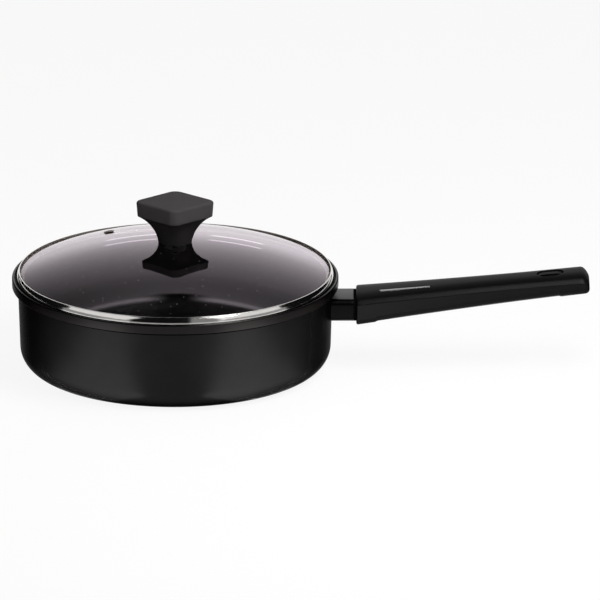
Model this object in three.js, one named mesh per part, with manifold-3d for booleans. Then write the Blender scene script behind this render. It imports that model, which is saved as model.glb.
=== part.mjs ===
// Stew pan with a domed glass lid.
// Millimetres, +Z up. The origin is the centre of the base, on the pan's axis.
// The handle points along +X.
// The cast bowl carries the handle on a lug, and the glass lid rests in a stepped seat inside the rim.

import * as THREE from 'three';
import { mergeVertices } from 'three/addons/utils/BufferGeometryUtils.js';
import Module from 'manifold-3d';

const wasm = await Module();
wasm.setup();

// Bowl
const panHeight = 71.4;
const collarRadius = 125;
const collarHeight = 7;
const collarOverhang = 4.5;
const rimWidth = 3;
const wallDraft = THREE.MathUtils.degToRad(1.66);
const wallThickness = 3.6;
const floorThickness = 5;
const baseFillet = 17.4;
const innerFillet = 15;
const rimRound = 1;
const seatDepth = 2.5;

// Steel plate let into the base for induction hobs
const plateInset = 32.5;
const plateHoleRadius = 19;
const plateThickness = 1.2;

// Lug, flame guard and handle screw, all on one level axis
const handleAxisHeight = 47.95;
const lugWidth = 28;
const lugHeight = 11.2;
const lugReach = 11;
const lugRound = 2;
const guardWall = 2.8;
const guardRound = 4.5;
const guardLength = 18;
const screwRadius = 2.5;
const screwDepth = 9;
const screwHeadRadius = 4.3;
const screwHeadLength = 3.6;
const springWasherRadius = 4.4;
const springWasherThickness = 1.3;
const screwSeatInset = 30;
const driverBoreRadius = 4.8;

// Handle grip
const gripLength = 178.4;
const gripTopHeight = 58.5;
const gripSlope = THREE.MathUtils.degToRad(5.36);
const gripFrontDepth = 21.2;
const gripEndDepth = 13.8;
const gripFrontWidth = 40.6;
const gripWaistWidth = 30.8;
const gripEndWidth = 33;
const gripWaistPlace = 0.69;
const gripWaistPower = 1.6;
const gripFrontCrown = -0.3;
const gripTailCrown = 0.9;
const gripTopRound = 3.6;
const gripBottomRound = 5.5;
const gripFrontRound = 1.6;
const gripTailTopRound = 7;
const gripTailLowerRound = 3.4;
const gripTailReach = 7;
const gripTailFullness = 2.3;
const gripTailTip = 2.4;
const gripRoundShare = 0.95;
const reliefDepth = 0.7;
const reliefFrontMargin = 14;
const reliefTailMargin = 21;
const reliefRamp = 3;
const hangHoleLength = 19;
const hangHoleWidth = 13.4;
const hangHoleInset = 30;

// Bright tapered inlay on top of the grip
const inlayLength = 39.7;
const inlayFrontWidth = 7;
const inlayTailWidth = 3.4;
const inlayThickness = 1.1;
const inlayProud = -0.1;
const inlayInset = 17;
const inlayOffset = 5;

// Lid glass and its rolled steel band
const bandHeight = 7;
const bandThickness = 0.8;
const bandShoulder = 3.2;
const bandBead = 1.2;
const bandLip = 3.4;
const glassThickness = 4;
const domeRadius = 306.7;
const knobHoleRadius = 3.6;

// Steam vent
const ventOffset = 73;
const ventBearing = THREE.MathUtils.degToRad(135);
const ventBoreRadius = 2.1;
const ventTubeRadius = 2.9;
const ventFlangeRadius = 4;
const ventFlangeThickness = 0.7;

// Knob: a diamond slab on a flared round foot
const knobHeight = 33;
const knobHalfLength = 29.4;
const knobHalfDepth = 26;
const knobCornerRound = 4.5;
const knobSlabHeight = 12.7;
const knobSlabDraft = 0.8;
const knobTopRound = 2;
const knobTopCrown = 0.6;
const knobCrownInset = 20;
const knobFootRadius = 12.8;
const knobFlareRadius = 27.4;

// Knob fixing
const insertRadius = 4.4;
const insertLength = 14;
const gasketRadius = 10.5;
const gasketThickness = 0.7;
const gasketRecess = 0.6;
const lowerGasketRadius = 8.5;
const lowerGasketThickness = 1.2;
const steelWasherRadius = 7.5;
const steelWasherThickness = 1;
const knobScrewRadius = 2;
const knobScrewReach = 11;
const knobScrewHeadRadius = 4.2;
const knobScrewHeadHeight = 2.8;

// Clearances
const fitGap = 0.3;
const stackGap = 0.1;
const threadGap = 0.2;
const channelGap = 0.2;
const bandGap = 1.1;

// Facets
const roundFacets = 64;
const smallFacets = 20;
const knobCornerSteps = 3;
const knobEdgeSteps = 4;
const knobFlareSteps = 7;
const gripCornerSteps = 4;
const gripStations = 10;
const roundSteps = 4;
const bowlSteps = 3;
const slotSteps = 8;

// Sizes that follow from the driving dimensions
const collarBottom = panHeight - collarHeight;
const seatHeight = panHeight - seatDepth;
const seatRadius = collarRadius - rimWidth;
const wallTopRadius = collarRadius - collarOverhang;
const wallOffset = wallTopRadius * Math.cos(wallDraft) - collarBottom * Math.sin(wallDraft);
const plateRadius = wallTopRadius - plateInset;
const plateRecess = plateThickness + stackGap;
const guardWidth = lugWidth + 2 * (fitGap + guardWall);
const guardHeight = lugHeight + 2 * (fitGap + guardWall);
const gripFront = wallTopRadius + guardLength;
const gripTail = gripFront + gripLength;
const lugEnd = wallTopRadius + lugReach;
const screwSeat = gripFront + screwSeatInset;
const bandRadius = seatRadius - bandGap;
const glassInnerRadius = domeRadius - glassThickness;
const lipOuterRadius = domeRadius + channelGap + bandThickness;
const domeCentre = bandHeight - Math.sqrt(lipOuterRadius ** 2 - (bandRadius - bandShoulder) ** 2);
const glassApex = domeCentre + domeRadius;
const channelRadius = bandRadius - bandThickness;
const glassEdgeRadius = channelRadius - channelGap;
const lipRadius = bandRadius - bandLip;
const knobFoot = 2 * stackGap + gasketThickness - gasketRecess;
const knobTop = knobFoot + knobHeight;
const slabBottom = knobTop - knobSlabHeight;
const insertSeat = knobFoot + gasketRecess;

// Solid helpers

// Closed mesh with shared vertices and no collapsed triangles.
function weld(geometry) {
  const bare = geometry.clone();
  bare.deleteAttribute('normal');
  bare.deleteAttribute('uv');
  const merged = mergeVertices(bare, 1e-4);
  const index = merged.index.array;
  const kept = [];
  for (let i = 0; i < index.length; i += 3) {
    const [a, b, c] = index.slice(i, i + 3);
    if (a !== b && b !== c && c !== a) kept.push(a, b, c);
  }
  merged.setIndex(kept);
  return merged;
}

function toSolid(geometry) {
  const mesh = weld(geometry);
  const vertProperties = Float32Array.from(mesh.attributes.position.array);
  const triVerts = Uint32Array.from(mesh.index.array);
  return new wasm.Manifold(new wasm.Mesh({ numProp: 3, vertProperties, triVerts }));
}

function toGeometry(solid) {
  const { vertProperties, triVerts } = solid.getMesh();
  const geometry = new THREE.BufferGeometry();
  geometry.setAttribute('position', new THREE.BufferAttribute(vertProperties, 3));
  geometry.setIndex(new THREE.BufferAttribute(triVerts, 1));
  return geometry;
}

// Revolves a profile of radius and height, drawn anticlockwise, about the Z axis.
function revolve(path, facets = roundFacets, steps = roundSteps) {
  const points = path.getPoints(steps);
  if (path.autoClose) points.push(points[0].clone());
  return weld(new THREE.LatheGeometry(points, facets).rotateX(Math.PI / 2));
}

function polygonPath(corners) {
  const path = new THREE.Path();
  path.setFromPoints(corners.map(([radius, height]) => new THREE.Vector2(radius, height)));
  return path;
}

// Solid of revolution between two heights.
function disc(radius, low, high, facets = smallFacets) {
  return revolve(polygonPath([[0, low], [radius, low], [radius, high], [0, high]]), facets);
}

// Flat ring between two heights.
function ring(innerRadius, outerRadius, low, high, facets = smallFacets) {
  const corners = [[innerRadius, low], [outerRadius, low], [outerRadius, high], [innerRadius, high]];
  return revolve(polygonPath([...corners, corners[0]]), facets);
}

function roundedRectangle(width, height, round) {
  const x = width / 2 - round;
  const y = height / 2 - round;
  const shape = new THREE.Shape();
  shape.absarc(x, y, round, 0, Math.PI / 2, false);
  shape.absarc(-x, y, round, Math.PI / 2, Math.PI, false);
  shape.absarc(-x, -y, round, Math.PI, 1.5 * Math.PI, false);
  shape.absarc(x, -y, round, 1.5 * Math.PI, 2 * Math.PI, false);
  return shape;
}

// Outline with round ends of two widths, lying along X and centred on the origin.
function taperedStadium(length, leftWidth, rightWidth) {
  const left = leftWidth / 2;
  const right = rightWidth / 2;
  const shape = new THREE.Shape();
  shape.absarc(length / 2 - right, 0, right, -Math.PI / 2, Math.PI / 2, false);
  shape.absarc(left - length / 2, 0, left, Math.PI / 2, 1.5 * Math.PI, false);
  return shape;
}

function extrude(shape, depth) {
  return new THREE.ExtrudeGeometry(shape, { depth, bevelEnabled: false, curveSegments: slotSteps });
}

const alongX = new THREE.Matrix4().makeBasis(
  new THREE.Vector3(0, 1, 0),
  new THREE.Vector3(0, 0, 1),
  new THREE.Vector3(1, 0, 0),
);

// Bar of constant section on the handle's level axis.
function handleBar(section, start, end) {
  const bar = extrude(section, end - start).applyMatrix4(alongX);
  return bar.translate(start, 0, handleAxisHeight);
}

// Turned piece on the handle's level axis: its local height runs along X.
function onHandleAxis(geometry) {
  return geometry.applyMatrix4(alongX).translate(0, 0, handleAxisHeight);
}

// Closed skin over a stack of rings with equal point counts, each end closed by a fan.
function loft(rings) {
  const count = rings[0].length;
  const positions = rings.flat().flatMap((point) => point.toArray());
  const index = [];
  for (let level = 0; level + 1 < rings.length; level += 1) {
    for (let i = 0; i < count; i += 1) {
      const next = (i + 1) % count;
      const a = level * count + i;
      const b = level * count + next;
      index.push(a, b, b + count, a, b + count, a + count);
    }
  }
  const closeEnd = (level, flip) => {
    const centre = new THREE.Vector3();
    rings[level].forEach((point) => centre.add(point));
    const hub = positions.length / 3;
    positions.push(...centre.divideScalar(count).toArray());
    for (let i = 0; i < count; i += 1) {
      const a = level * count + i;
      const b = level * count + (i + 1) % count;
      index.push(...(flip ? [hub, b, a] : [hub, a, b]));
    }
  };
  closeEnd(0, true);
  closeEnd(rings.length - 1, false);
  const geometry = new THREE.BufferGeometry();
  geometry.setAttribute('position', new THREE.Float32BufferAttribute(positions, 3));
  geometry.setIndex(index);
  return geometry;
}

function smooth(t) {
  return THREE.MathUtils.smoothstep(t, 0, 1);
}

// Bowl

function wallRadiusAt(height, inset = 0) {
  return (wallOffset - inset + height * Math.sin(wallDraft)) / Math.cos(wallDraft);
}

// Adds the round corner between a flat at the given height and the wall.
function wallCorner(path, flatHeight, round, inset, clockwise) {
  const centreHeight = flatHeight + round;
  const centreRadius = wallRadiusAt(centreHeight, inset + round);
  const [start, end] = clockwise ? [-wallDraft, -Math.PI / 2] : [-Math.PI / 2, -wallDraft];
  path.absarc(centreRadius, centreHeight, round, start, end, clockwise);
}

function panBowl() {
  const path = new THREE.Path();
  path.moveTo(0, 0);
  path.lineTo(plateHoleRadius - fitGap, 0);
  path.lineTo(plateHoleRadius - fitGap, plateRecess);
  path.lineTo(plateRadius + fitGap, plateRecess);
  path.lineTo(plateRadius + fitGap, 0);
  wallCorner(path, 0, baseFillet, 0, false);
  path.lineTo(wallTopRadius, collarBottom);
  path.lineTo(collarRadius - rimRound / 2, collarBottom);
  path.lineTo(collarRadius, collarBottom + rimRound / 2);
  path.absarc(collarRadius - rimRound, panHeight - rimRound, rimRound, 0, Math.PI / 2, false);
  path.lineTo(seatRadius + rimRound / 2, panHeight);
  path.lineTo(seatRadius, panHeight - rimRound / 2);
  path.lineTo(seatRadius, seatHeight);
  path.lineTo(wallRadiusAt(seatHeight, wallThickness), seatHeight);
  wallCorner(path, floorThickness, innerFillet, wallThickness, true);
  path.lineTo(0, floorThickness);

  const lugRoot = wallRadiusAt(handleAxisHeight, wallThickness / 2);
  const lug = handleBar(roundedRectangle(lugWidth, lugHeight, lugRound), lugRoot, lugEnd);
  const thread = onHandleAxis(disc(screwRadius + threadGap, lugEnd - screwDepth - fitGap, lugEnd + fitGap));
  const cast = toSolid(revolve(path, roundFacets, bowlSteps)).add(toSolid(lug));
  return toGeometry(cast.subtract(toSolid(thread)));
}

function basePlate() {
  return ring(plateHoleRadius, plateRadius, 0, plateThickness, roundFacets);
}

// Handle

// Sleeve over the lug, its inner end shaped to the round wall.
function flameGuard() {
  const section = roundedRectangle(guardWidth, guardHeight, guardRound);
  section.holes.push(roundedRectangle(lugWidth + 2 * fitGap, lugHeight + 2 * fitGap, lugRound + fitGap));
  const sleeve = handleBar(section, wallTopRadius - guardLength, gripFront - fitGap);
  const wall = polygonPath([
    [0, 0],
    [wallRadiusAt(0) + fitGap, 0],
    [wallRadiusAt(collarBottom) + fitGap, collarBottom],
    [0, collarBottom],
  ]);
  return toGeometry(toSolid(sleeve).subtract(toSolid(revolve(wall))));
}

function gripTopAt(x) {
  return gripTopHeight + (x - gripFront) * Math.tan(gripSlope);
}

// Underside of the grip, with a long shallow finger relief between its two ends.
function gripBottomAt(x) {
  const t = (x - gripFront) / gripLength;
  const depth = THREE.MathUtils.lerp(gripFrontDepth, gripEndDepth, t);
  const rise = smooth((x - gripFront - reliefFrontMargin) / reliefRamp);
  const fall = smooth((gripTail - reliefTailMargin - x) / reliefRamp);
  return gripTopAt(x) - depth + reliefDepth * Math.min(rise, fall);
}

// Width of the grip in plan: widest at the front, with a waist before the tail.
function gripWidthAt(x) {
  const t = (x - gripFront) / gripLength;
  const ahead = t < gripWaistPlace;
  const reach = ahead ? 1 - t / gripWaistPlace : (t - gripWaistPlace) / (1 - gripWaistPlace);
  const endWidth = ahead ? gripFrontWidth : gripEndWidth;
  return gripWaistWidth + (endWidth - gripWaistWidth) * reach ** gripWaistPower;
}

function gripCrownAt(x) {
  return THREE.MathUtils.lerp(gripFrontCrown, gripTailCrown, (x - gripFront) / gripLength);
}

// How far a rounded end draws in its section at a distance from that end.
function endInset(distance, reach) {
  const t = Math.max(0, 1 - distance / reach);
  return reach * (1 - Math.sqrt(1 - t * t));
}

// How far each side of the tail draws in: its plan is a blunt bow between two small corners.
function tailDraw(x) {
  const t = Math.max(0, 1 - (gripTail - x) / gripTailReach);
  return (gripWidthAt(x) / 2 - gripTailTip) * t ** gripTailFullness;
}

function gripSection(x) {
  const frontDraw = endInset(x - gripFront, gripFrontRound);
  const plan = frontDraw + tailDraw(x);
  const halfWidth = gripWidthAt(x) / 2 - plan;
  const top = gripTopAt(x) - frontDraw - endInset(gripTail - x, gripTailTopRound);
  const bottom = gripBottomAt(x) + frontDraw + endInset(gripTail - x, gripTailLowerRound);
  const roundLimit = gripRoundShare * Math.min(halfWidth, (top - bottom) / 2);
  const topRound = Math.min(gripTopRound, roundLimit);
  const bottomRound = Math.min(gripBottomRound, roundLimit);
  const corners = [
    [halfWidth, bottom, bottomRound, -Math.PI / 2],
    [halfWidth, top, topRound, 0],
    [-halfWidth, top, topRound, Math.PI / 2],
    [-halfWidth, bottom, bottomRound, Math.PI],
  ];
  const points = [];
  corners.forEach(([side, level, round, start], corner) => {
    const centreY = side - Math.sign(side) * round;
    const centreZ = level === top ? level - round : level + round;
    for (let step = 0; step <= gripCornerSteps; step += 1) {
      const angle = start + (Math.PI / 2) * (step / gripCornerSteps);
      const z = centreZ + round * Math.sin(angle);
      points.push(new THREE.Vector3(x, centreY + round * Math.cos(angle), z));
    }
    if (corner === 1) points.push(new THREE.Vector3(x, 0, top + gripCrownAt(x)));
  });
  return points;
}

// Places along the grip: even steps, and more where the ends round off and the relief starts and stops.
function gripStationList() {
  const places = [];
  for (let step = 0; step <= roundSteps; step += 1) {
    const part = 1 - Math.cos((Math.PI / 2) * (step / roundSteps));
    places.push(gripFront + gripFrontRound * part, gripTail - gripTailReach * part);
  }
  const reliefEnds = [gripFront + reliefFrontMargin, gripTail - reliefTailMargin - reliefRamp];
  reliefEnds.forEach((start) => {
    for (let step = 0; step <= 2; step += 1) places.push(start + reliefRamp * (step / 2));
  });
  const first = reliefEnds[0] + reliefRamp;
  for (let step = 1; step < gripStations; step += 1) {
    places.push(THREE.MathUtils.lerp(first, reliefEnds[1], step / gripStations));
  }
  return places.sort((a, b) => a - b);
}

// Frame on the sloping top of the grip, at a distance from its front and off its middle line.
function gripTopFrame(inset, offset) {
  const frame = new THREE.Group();
  const x = gripFront + inset;
  frame.position.set(x, -offset, gripTopAt(x) + gripCrownAt(x));
  frame.rotation.y = -gripSlope;
  frame.updateMatrix();
  return frame;
}

function inlayOutline(margin = 0) {
  const length = inlayLength + 2 * margin;
  return taperedStadium(length, inlayFrontWidth + 2 * margin, inlayTailWidth + 2 * margin);
}

const inlayCentre = inlayInset + inlayLength / 2;

function handleGrip() {
  const body = toSolid(loft(gripStationList().map(gripSection)));
  const tenonSection = roundedRectangle(lugWidth, lugHeight, lugRound);
  const tenon = toSolid(handleBar(tenonSection, lugEnd + fitGap, gripFront + gripFrontRound + fitGap));
  const shankBore = toSolid(onHandleAxis(disc(screwRadius + fitGap, lugEnd, screwSeat + fitGap)));
  const driverBore = toSolid(onHandleAxis(disc(driverBoreRadius, screwSeat, gripTail)));
  const pocket = extrude(inlayOutline(fitGap), 2 * inlayThickness);
  pocket.translate(0, 0, inlayProud - inlayThickness - fitGap);
  pocket.applyMatrix4(gripTopFrame(inlayCentre, inlayOffset).matrix);
  const hole = extrude(taperedStadium(hangHoleLength, hangHoleWidth, hangHoleWidth), 2 * panHeight);
  hole.translate(gripTail - hangHoleInset, 0, 0);
  const cuts = [shankBore, driverBore, toSolid(pocket), toSolid(hole)];
  return toGeometry(cuts.reduce((solid, cut) => solid.subtract(cut), body.add(tenon)));
}

function handleInlay() {
  return weld(extrude(inlayOutline(), inlayThickness).translate(0, 0, inlayProud - inlayThickness));
}

const springWasherEnd = screwSeat + stackGap + springWasherThickness;

function handleSpringWasher() {
  const start = screwSeat + stackGap;
  return onHandleAxis(ring(screwRadius + threadGap, springWasherRadius, start, springWasherEnd));
}

// Screw from the driver bore through the grip into the lug.
function handleScrew() {
  const head = springWasherEnd + stackGap;
  const tip = lugEnd - screwDepth;
  const path = polygonPath([
    [0, tip],
    [screwRadius / 2, tip],
    [screwRadius, tip + screwRadius / 2],
    [screwRadius, head],
    [screwHeadRadius, head],
    [screwHeadRadius, head + screwHeadLength / 2],
    [screwHeadRadius / 2, head + screwHeadLength],
    [0, head + screwHeadLength],
  ]);
  return onHandleAxis(revolve(path, smallFacets));
}

// Lid: heights here start at the bottom of the steel band

function domeAngle(sphereRadius, radius) {
  return Math.acos(radius / sphereRadius);
}

// Adds a stretch of the dome's section between two distances from the axis.
function domeArc(path, sphereRadius, from, to) {
  const start = domeAngle(sphereRadius, from);
  const end = domeAngle(sphereRadius, to);
  path.absarc(0, domeCentre, sphereRadius, start, end, end < start);
}

// Frame on the outside of the glass where the vent stands.
function ventFrame() {
  const tilt = Math.asin(ventOffset / domeRadius);
  const frame = new THREE.Group();
  frame.position.set(
    ventOffset * Math.cos(ventBearing),
    ventOffset * Math.sin(ventBearing),
    domeCentre + domeRadius * Math.cos(tilt),
  );
  frame.rotation.set(0, tilt, ventBearing, 'ZYX');
  frame.updateMatrix();
  return frame;
}

function lidGlass() {
  const innerEdge = glassEdgeRadius * (glassInnerRadius / domeRadius);
  const path = new THREE.Path();
  domeArc(path, glassInnerRadius, knobHoleRadius, innerEdge);
  domeArc(path, domeRadius, glassEdgeRadius, knobHoleRadius);
  path.autoClose = true;
  const vent = disc(ventTubeRadius + fitGap, -2 * glassThickness, glassThickness);
  return toGeometry(toSolid(revolve(path)).subtract(toSolid(vent.applyMatrix4(ventFrame().matrix))));
}

// Rolled channel that grips the edge of the glass.
function lidRimBand() {
  const lowerTop = glassInnerRadius - channelGap;
  const path = new THREE.Path();
  path.absarc(bandRadius - bandBead, bandBead, bandBead, -Math.PI / 2, 0, false);
  path.absarc(bandRadius - bandShoulder, bandHeight - bandShoulder, bandShoulder, 0, Math.PI / 2, false);
  path.lineTo(lipRadius, domeCentre + Math.sqrt(lipOuterRadius ** 2 - lipRadius ** 2));
  path.lineTo(lipRadius, domeCentre + Math.sqrt((domeRadius + channelGap) ** 2 - lipRadius ** 2));
  path.lineTo(channelRadius, domeCentre + Math.sqrt((domeRadius + channelGap) ** 2 - channelRadius ** 2));
  path.lineTo(channelRadius, domeCentre + Math.sqrt(lowerTop ** 2 - channelRadius ** 2));
  path.lineTo(lipRadius, domeCentre + Math.sqrt(lowerTop ** 2 - lipRadius ** 2));
  path.lineTo(lipRadius, domeCentre + Math.sqrt((lowerTop - bandThickness) ** 2 - lipRadius ** 2));
  path.autoClose = true;
  return revolve(path, roundFacets, 2);
}

// Riveted tube with a flange on each side of the glass; heights start at the outside of the glass.
function ventEyelet() {
  const outer = fitGap + ventFlangeThickness;
  const inner = -glassThickness - outer;
  const path = polygonPath([
    [ventBoreRadius, inner],
    [ventFlangeRadius, inner],
    [ventFlangeRadius, inner + ventFlangeThickness],
    [ventTubeRadius, inner + ventFlangeThickness],
    [ventTubeRadius, fitGap],
    [ventFlangeRadius, fitGap],
    [ventFlangeRadius, outer - ventFlangeThickness / 2],
    [ventFlangeRadius - ventFlangeThickness / 2, outer],
    [ventBoreRadius, outer],
    [ventBoreRadius, inner],
  ]);
  return revolve(path, smallFacets);
}

// Knob: heights start at the top of the glass

// Diamond outline with rounded corners and evenly divided sides.
function diamondOutline(halfLength, halfDepth) {
  const tips = [[halfLength, 0], [0, halfDepth], [-halfLength, 0], [0, -halfDepth]];
  const corners = tips.map(([x, y]) => new THREE.Vector2(x, y));
  const points = [];
  corners.forEach((tip, i) => {
    const before = corners[(i + 3) % 4].clone().sub(tip).normalize();
    const after = corners[(i + 1) % 4].clone().sub(tip).normalize();
    const halfAngle = Math.acos(before.dot(after)) / 2;
    const inward = before.clone().add(after).normalize();
    const centre = tip.clone().addScaledVector(inward, knobCornerRound / Math.sin(halfAngle));
    const middle = Math.atan2(-inward.y, -inward.x);
    const sweep = Math.PI / 2 - halfAngle;
    for (let step = -knobCornerSteps; step <= knobCornerSteps; step += 1) {
      const angle = middle + sweep * (step / knobCornerSteps);
      const spoke = new THREE.Vector2(Math.cos(angle), Math.sin(angle));
      points.push(centre.clone().addScaledVector(spoke, knobCornerRound));
    }
  });
  const perCorner = 2 * knobCornerSteps + 1;
  return points.flatMap((point, i) => {
    if (i % perCorner !== perCorner - 1) return [point];
    const next = points[(i + 1) % points.length];
    return Array.from({ length: knobEdgeSteps }, (_, step) => point.clone().lerp(next, step / knobEdgeSteps));
  });
}

// Tip of a diamond whose rounded corner reaches the given half length.
function sharpHalf(half, other) {
  const halfAngle = Math.atan2(other, half);
  return half + knobCornerRound * (1 / Math.sin(halfAngle) - 1);
}

// Half length of the flare's section: a concave arc from the foot up to the slab.
function flareReach(height, slabReach) {
  const foot = new THREE.Vector2(knobFootRadius, knobFoot);
  const slab = new THREE.Vector2(slabReach, slabBottom);
  const chord = slab.clone().sub(foot);
  const side = new THREE.Vector2(chord.y, -chord.x).normalize();
  const offset = Math.sqrt(knobFlareRadius ** 2 - chord.lengthSq() / 4);
  const centre = foot.clone().addScaledVector(chord, 0.5).addScaledVector(side, offset);
  return centre.x - Math.sqrt(knobFlareRadius ** 2 - (height - centre.y) ** 2);
}

function knob() {
  const outline = diamondOutline(
    sharpHalf(knobHalfLength, knobHalfDepth),
    sharpHalf(knobHalfDepth, knobHalfLength),
  );
  const level = (height, inset) => outline.map((point) => {
    const scale = 1 - inset / knobHalfLength;
    return new THREE.Vector3(point.x * scale, point.y * scale, height);
  });
  const slabReach = knobHalfLength - knobSlabDraft;
  const rings = [];
  for (let step = 0; step < knobFlareSteps; step += 1) {
    const t = step / knobFlareSteps;
    const height = THREE.MathUtils.lerp(knobFoot, slabBottom, t);
    const reach = flareReach(height, slabReach);
    rings.push(outline.map((point) => {
      const direction = point.clone().normalize();
      const radius = THREE.MathUtils.lerp(reach, (reach * point.length()) / knobHalfLength, smooth(t));
      return new THREE.Vector3(direction.x * radius, direction.y * radius, height);
    }));
  }
  rings.push(level(slabBottom, knobSlabDraft));
  for (let step = 0; step <= roundSteps; step += 1) {
    const angle = (Math.PI / 2) * (step / roundSteps);
    const height = knobTop - knobTopCrown - knobTopRound * (1 - Math.sin(angle));
    rings.push(level(height, knobTopRound * (1 - Math.cos(angle))));
  }
  rings.push(level(knobTop, knobCrownInset));
  const recess = disc(gasketRadius + fitGap, knobFoot - fitGap, insertSeat);
  const socket = disc(insertRadius + fitGap, knobFoot - fitGap, insertSeat + insertLength + 2 * fitGap);
  return toGeometry(toSolid(loft(rings)).subtract(toSolid(recess)).subtract(toSolid(socket)));
}

function knobInsert() {
  const low = insertSeat + fitGap;
  return ring(knobScrewRadius + threadGap, insertRadius, low, low + insertLength);
}

function knobGasket() {
  return ring(knobHoleRadius, gasketRadius, stackGap, stackGap + gasketThickness);
}

const innerDrop = glassInnerRadius - Math.sqrt(glassInnerRadius ** 2 - lowerGasketRadius ** 2);
const lowerGasketTop = -glassThickness - innerDrop - fitGap;
const steelWasherTop = lowerGasketTop - lowerGasketThickness - stackGap;
const knobScrewSeat = steelWasherTop - steelWasherThickness - stackGap;

function glassGasket() {
  const innerRadius = knobScrewRadius + fitGap;
  return ring(innerRadius, lowerGasketRadius, lowerGasketTop - lowerGasketThickness, lowerGasketTop);
}

function knobWasher() {
  const innerRadius = knobScrewRadius + fitGap;
  return ring(innerRadius, steelWasherRadius, steelWasherTop - steelWasherThickness, steelWasherTop);
}

// Screw from under the glass into the knob's threaded insert.
function knobScrew() {
  const tip = knobFoot + knobScrewReach;
  const low = knobScrewSeat - knobScrewHeadHeight;
  const path = polygonPath([
    [0, low],
    [knobScrewHeadRadius / 2, low],
    [knobScrewHeadRadius, low + knobScrewHeadHeight / 2],
    [knobScrewHeadRadius, knobScrewSeat],
    [knobScrewRadius, knobScrewSeat],
    [knobScrewRadius, tip - knobScrewRadius / 2],
    [knobScrewRadius / 2, tip],
    [0, tip],
  ]);
  return revolve(path, smallFacets);
}

// Finishes

const finish = (color, roughness, metalness = 0) => ({ color, roughness, metalness });
const coating = finish('#2b2a2a', 0.55, 0.2);
const guardPaint = finish('#1d1e1e', 0.4, 0.2);
const handlePlastic = finish('#1c1d1d', 0.42);
const knobPlastic = finish('#3a393a', 0.6);
const polishedSteel = finish('#c9c7c3', 0.15, 1);
const satinSteel = finish('#b4b2ae', 0.35, 1);
const brightTrim = finish('#d2d2d0', 0.25, 1);
const brassTone = finish('#b09a5a', 0.35, 1);
const silicone = finish('#2a2a2a', 0.7);
const smokedGlass = { ...finish('#cfd3d2', 0.05), transparent: true, opacity: 0.35 };

function piece(name, geometry, look) {
  const mesh = new THREE.Mesh(geometry, new THREE.MeshStandardMaterial({ ...look }));
  mesh.name = name;
  return mesh;
}

// Assembly

const pan = new THREE.Group();
pan.add(
  piece('pan_bowl', panBowl(), coating),
  piece('base_plate', basePlate(), satinSteel),
  piece('flame_guard', flameGuard(), guardPaint),
  piece('handle_grip', handleGrip(), handlePlastic),
  piece('handle_screw', handleScrew(), satinSteel),
  piece('handle_spring_washer', handleSpringWasher(), satinSteel),
);
const inlaySeat = gripTopFrame(inlayCentre, inlayOffset);
inlaySeat.add(piece('handle_inlay', handleInlay(), brightTrim));
pan.add(inlaySeat);

const lid = new THREE.Group();
lid.position.z = seatHeight + fitGap;
const vent = ventFrame();
vent.add(piece('vent_eyelet', ventEyelet(), polishedSteel));
const knobSeat = new THREE.Group();
knobSeat.position.z = glassApex;
knobSeat.add(
  piece('knob', knob(), knobPlastic),
  piece('knob_insert', knobInsert(), brassTone),
  piece('knob_gasket', knobGasket(), silicone),
  piece('glass_gasket', glassGasket(), silicone),
  piece('knob_washer', knobWasher(), satinSteel),
  piece('knob_screw', knobScrew(), satinSteel),
);
lid.add(
  piece('lid_glass', lidGlass(), smokedGlass),
  piece('lid_rim_band', lidRimBand(), polishedSteel),
  vent,
  knobSeat,
);

const stewPan = new THREE.Group();
stewPan.add(pan, lid);

export default stewPan;
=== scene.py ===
import math

import bmesh
import bpy
from mathutils import Matrix, Vector
from mathutils.bvhtree import BVHTree
from mathutils.interpolate import poly_3d_calc


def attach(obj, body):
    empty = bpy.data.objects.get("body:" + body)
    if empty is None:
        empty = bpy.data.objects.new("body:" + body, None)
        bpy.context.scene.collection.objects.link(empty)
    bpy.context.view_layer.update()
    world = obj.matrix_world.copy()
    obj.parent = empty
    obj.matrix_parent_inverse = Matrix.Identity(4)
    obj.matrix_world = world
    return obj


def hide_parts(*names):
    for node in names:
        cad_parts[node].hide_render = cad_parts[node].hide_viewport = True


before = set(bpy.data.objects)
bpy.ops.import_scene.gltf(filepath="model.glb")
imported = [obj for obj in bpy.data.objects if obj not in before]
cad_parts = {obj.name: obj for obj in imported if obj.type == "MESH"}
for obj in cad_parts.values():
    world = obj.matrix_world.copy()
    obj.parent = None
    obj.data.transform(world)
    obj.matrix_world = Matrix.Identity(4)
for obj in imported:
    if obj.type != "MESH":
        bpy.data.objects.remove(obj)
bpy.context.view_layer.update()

# Sizes of the pan in millimetres

MM = 0.001
FIT_GAP, CONTACT_GAP, BORE_CLEARANCE = 0.3, 0.1, 0.2
PAN_HEIGHT = 71.4
COLLAR_RADIUS = 125.0
COLLAR_BOTTOM = 64.4
WALL_TOP_RADIUS = 120.5
WALL_DRAFT = math.radians(1.66)
WALL_THICKNESS = 3.6
GROOVE_HEIGHT, GROOVE_RISE, GROOVE_DEPTH = 62.3, 0.7, 0.6
FLOOR_THICKNESS = 5.0
BASE_FILLET = 17.4
INNER_FILLET = 15.0
SEAT_RADIUS = 123.0
SEAT_HEIGHT = 68.9
PLATE_RADIUS = 88.0
PLATE_HOLE_RADIUS = 19.0
PLATE_THICKNESS = 1.2
PLATE_RECESS = 1.3

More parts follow.
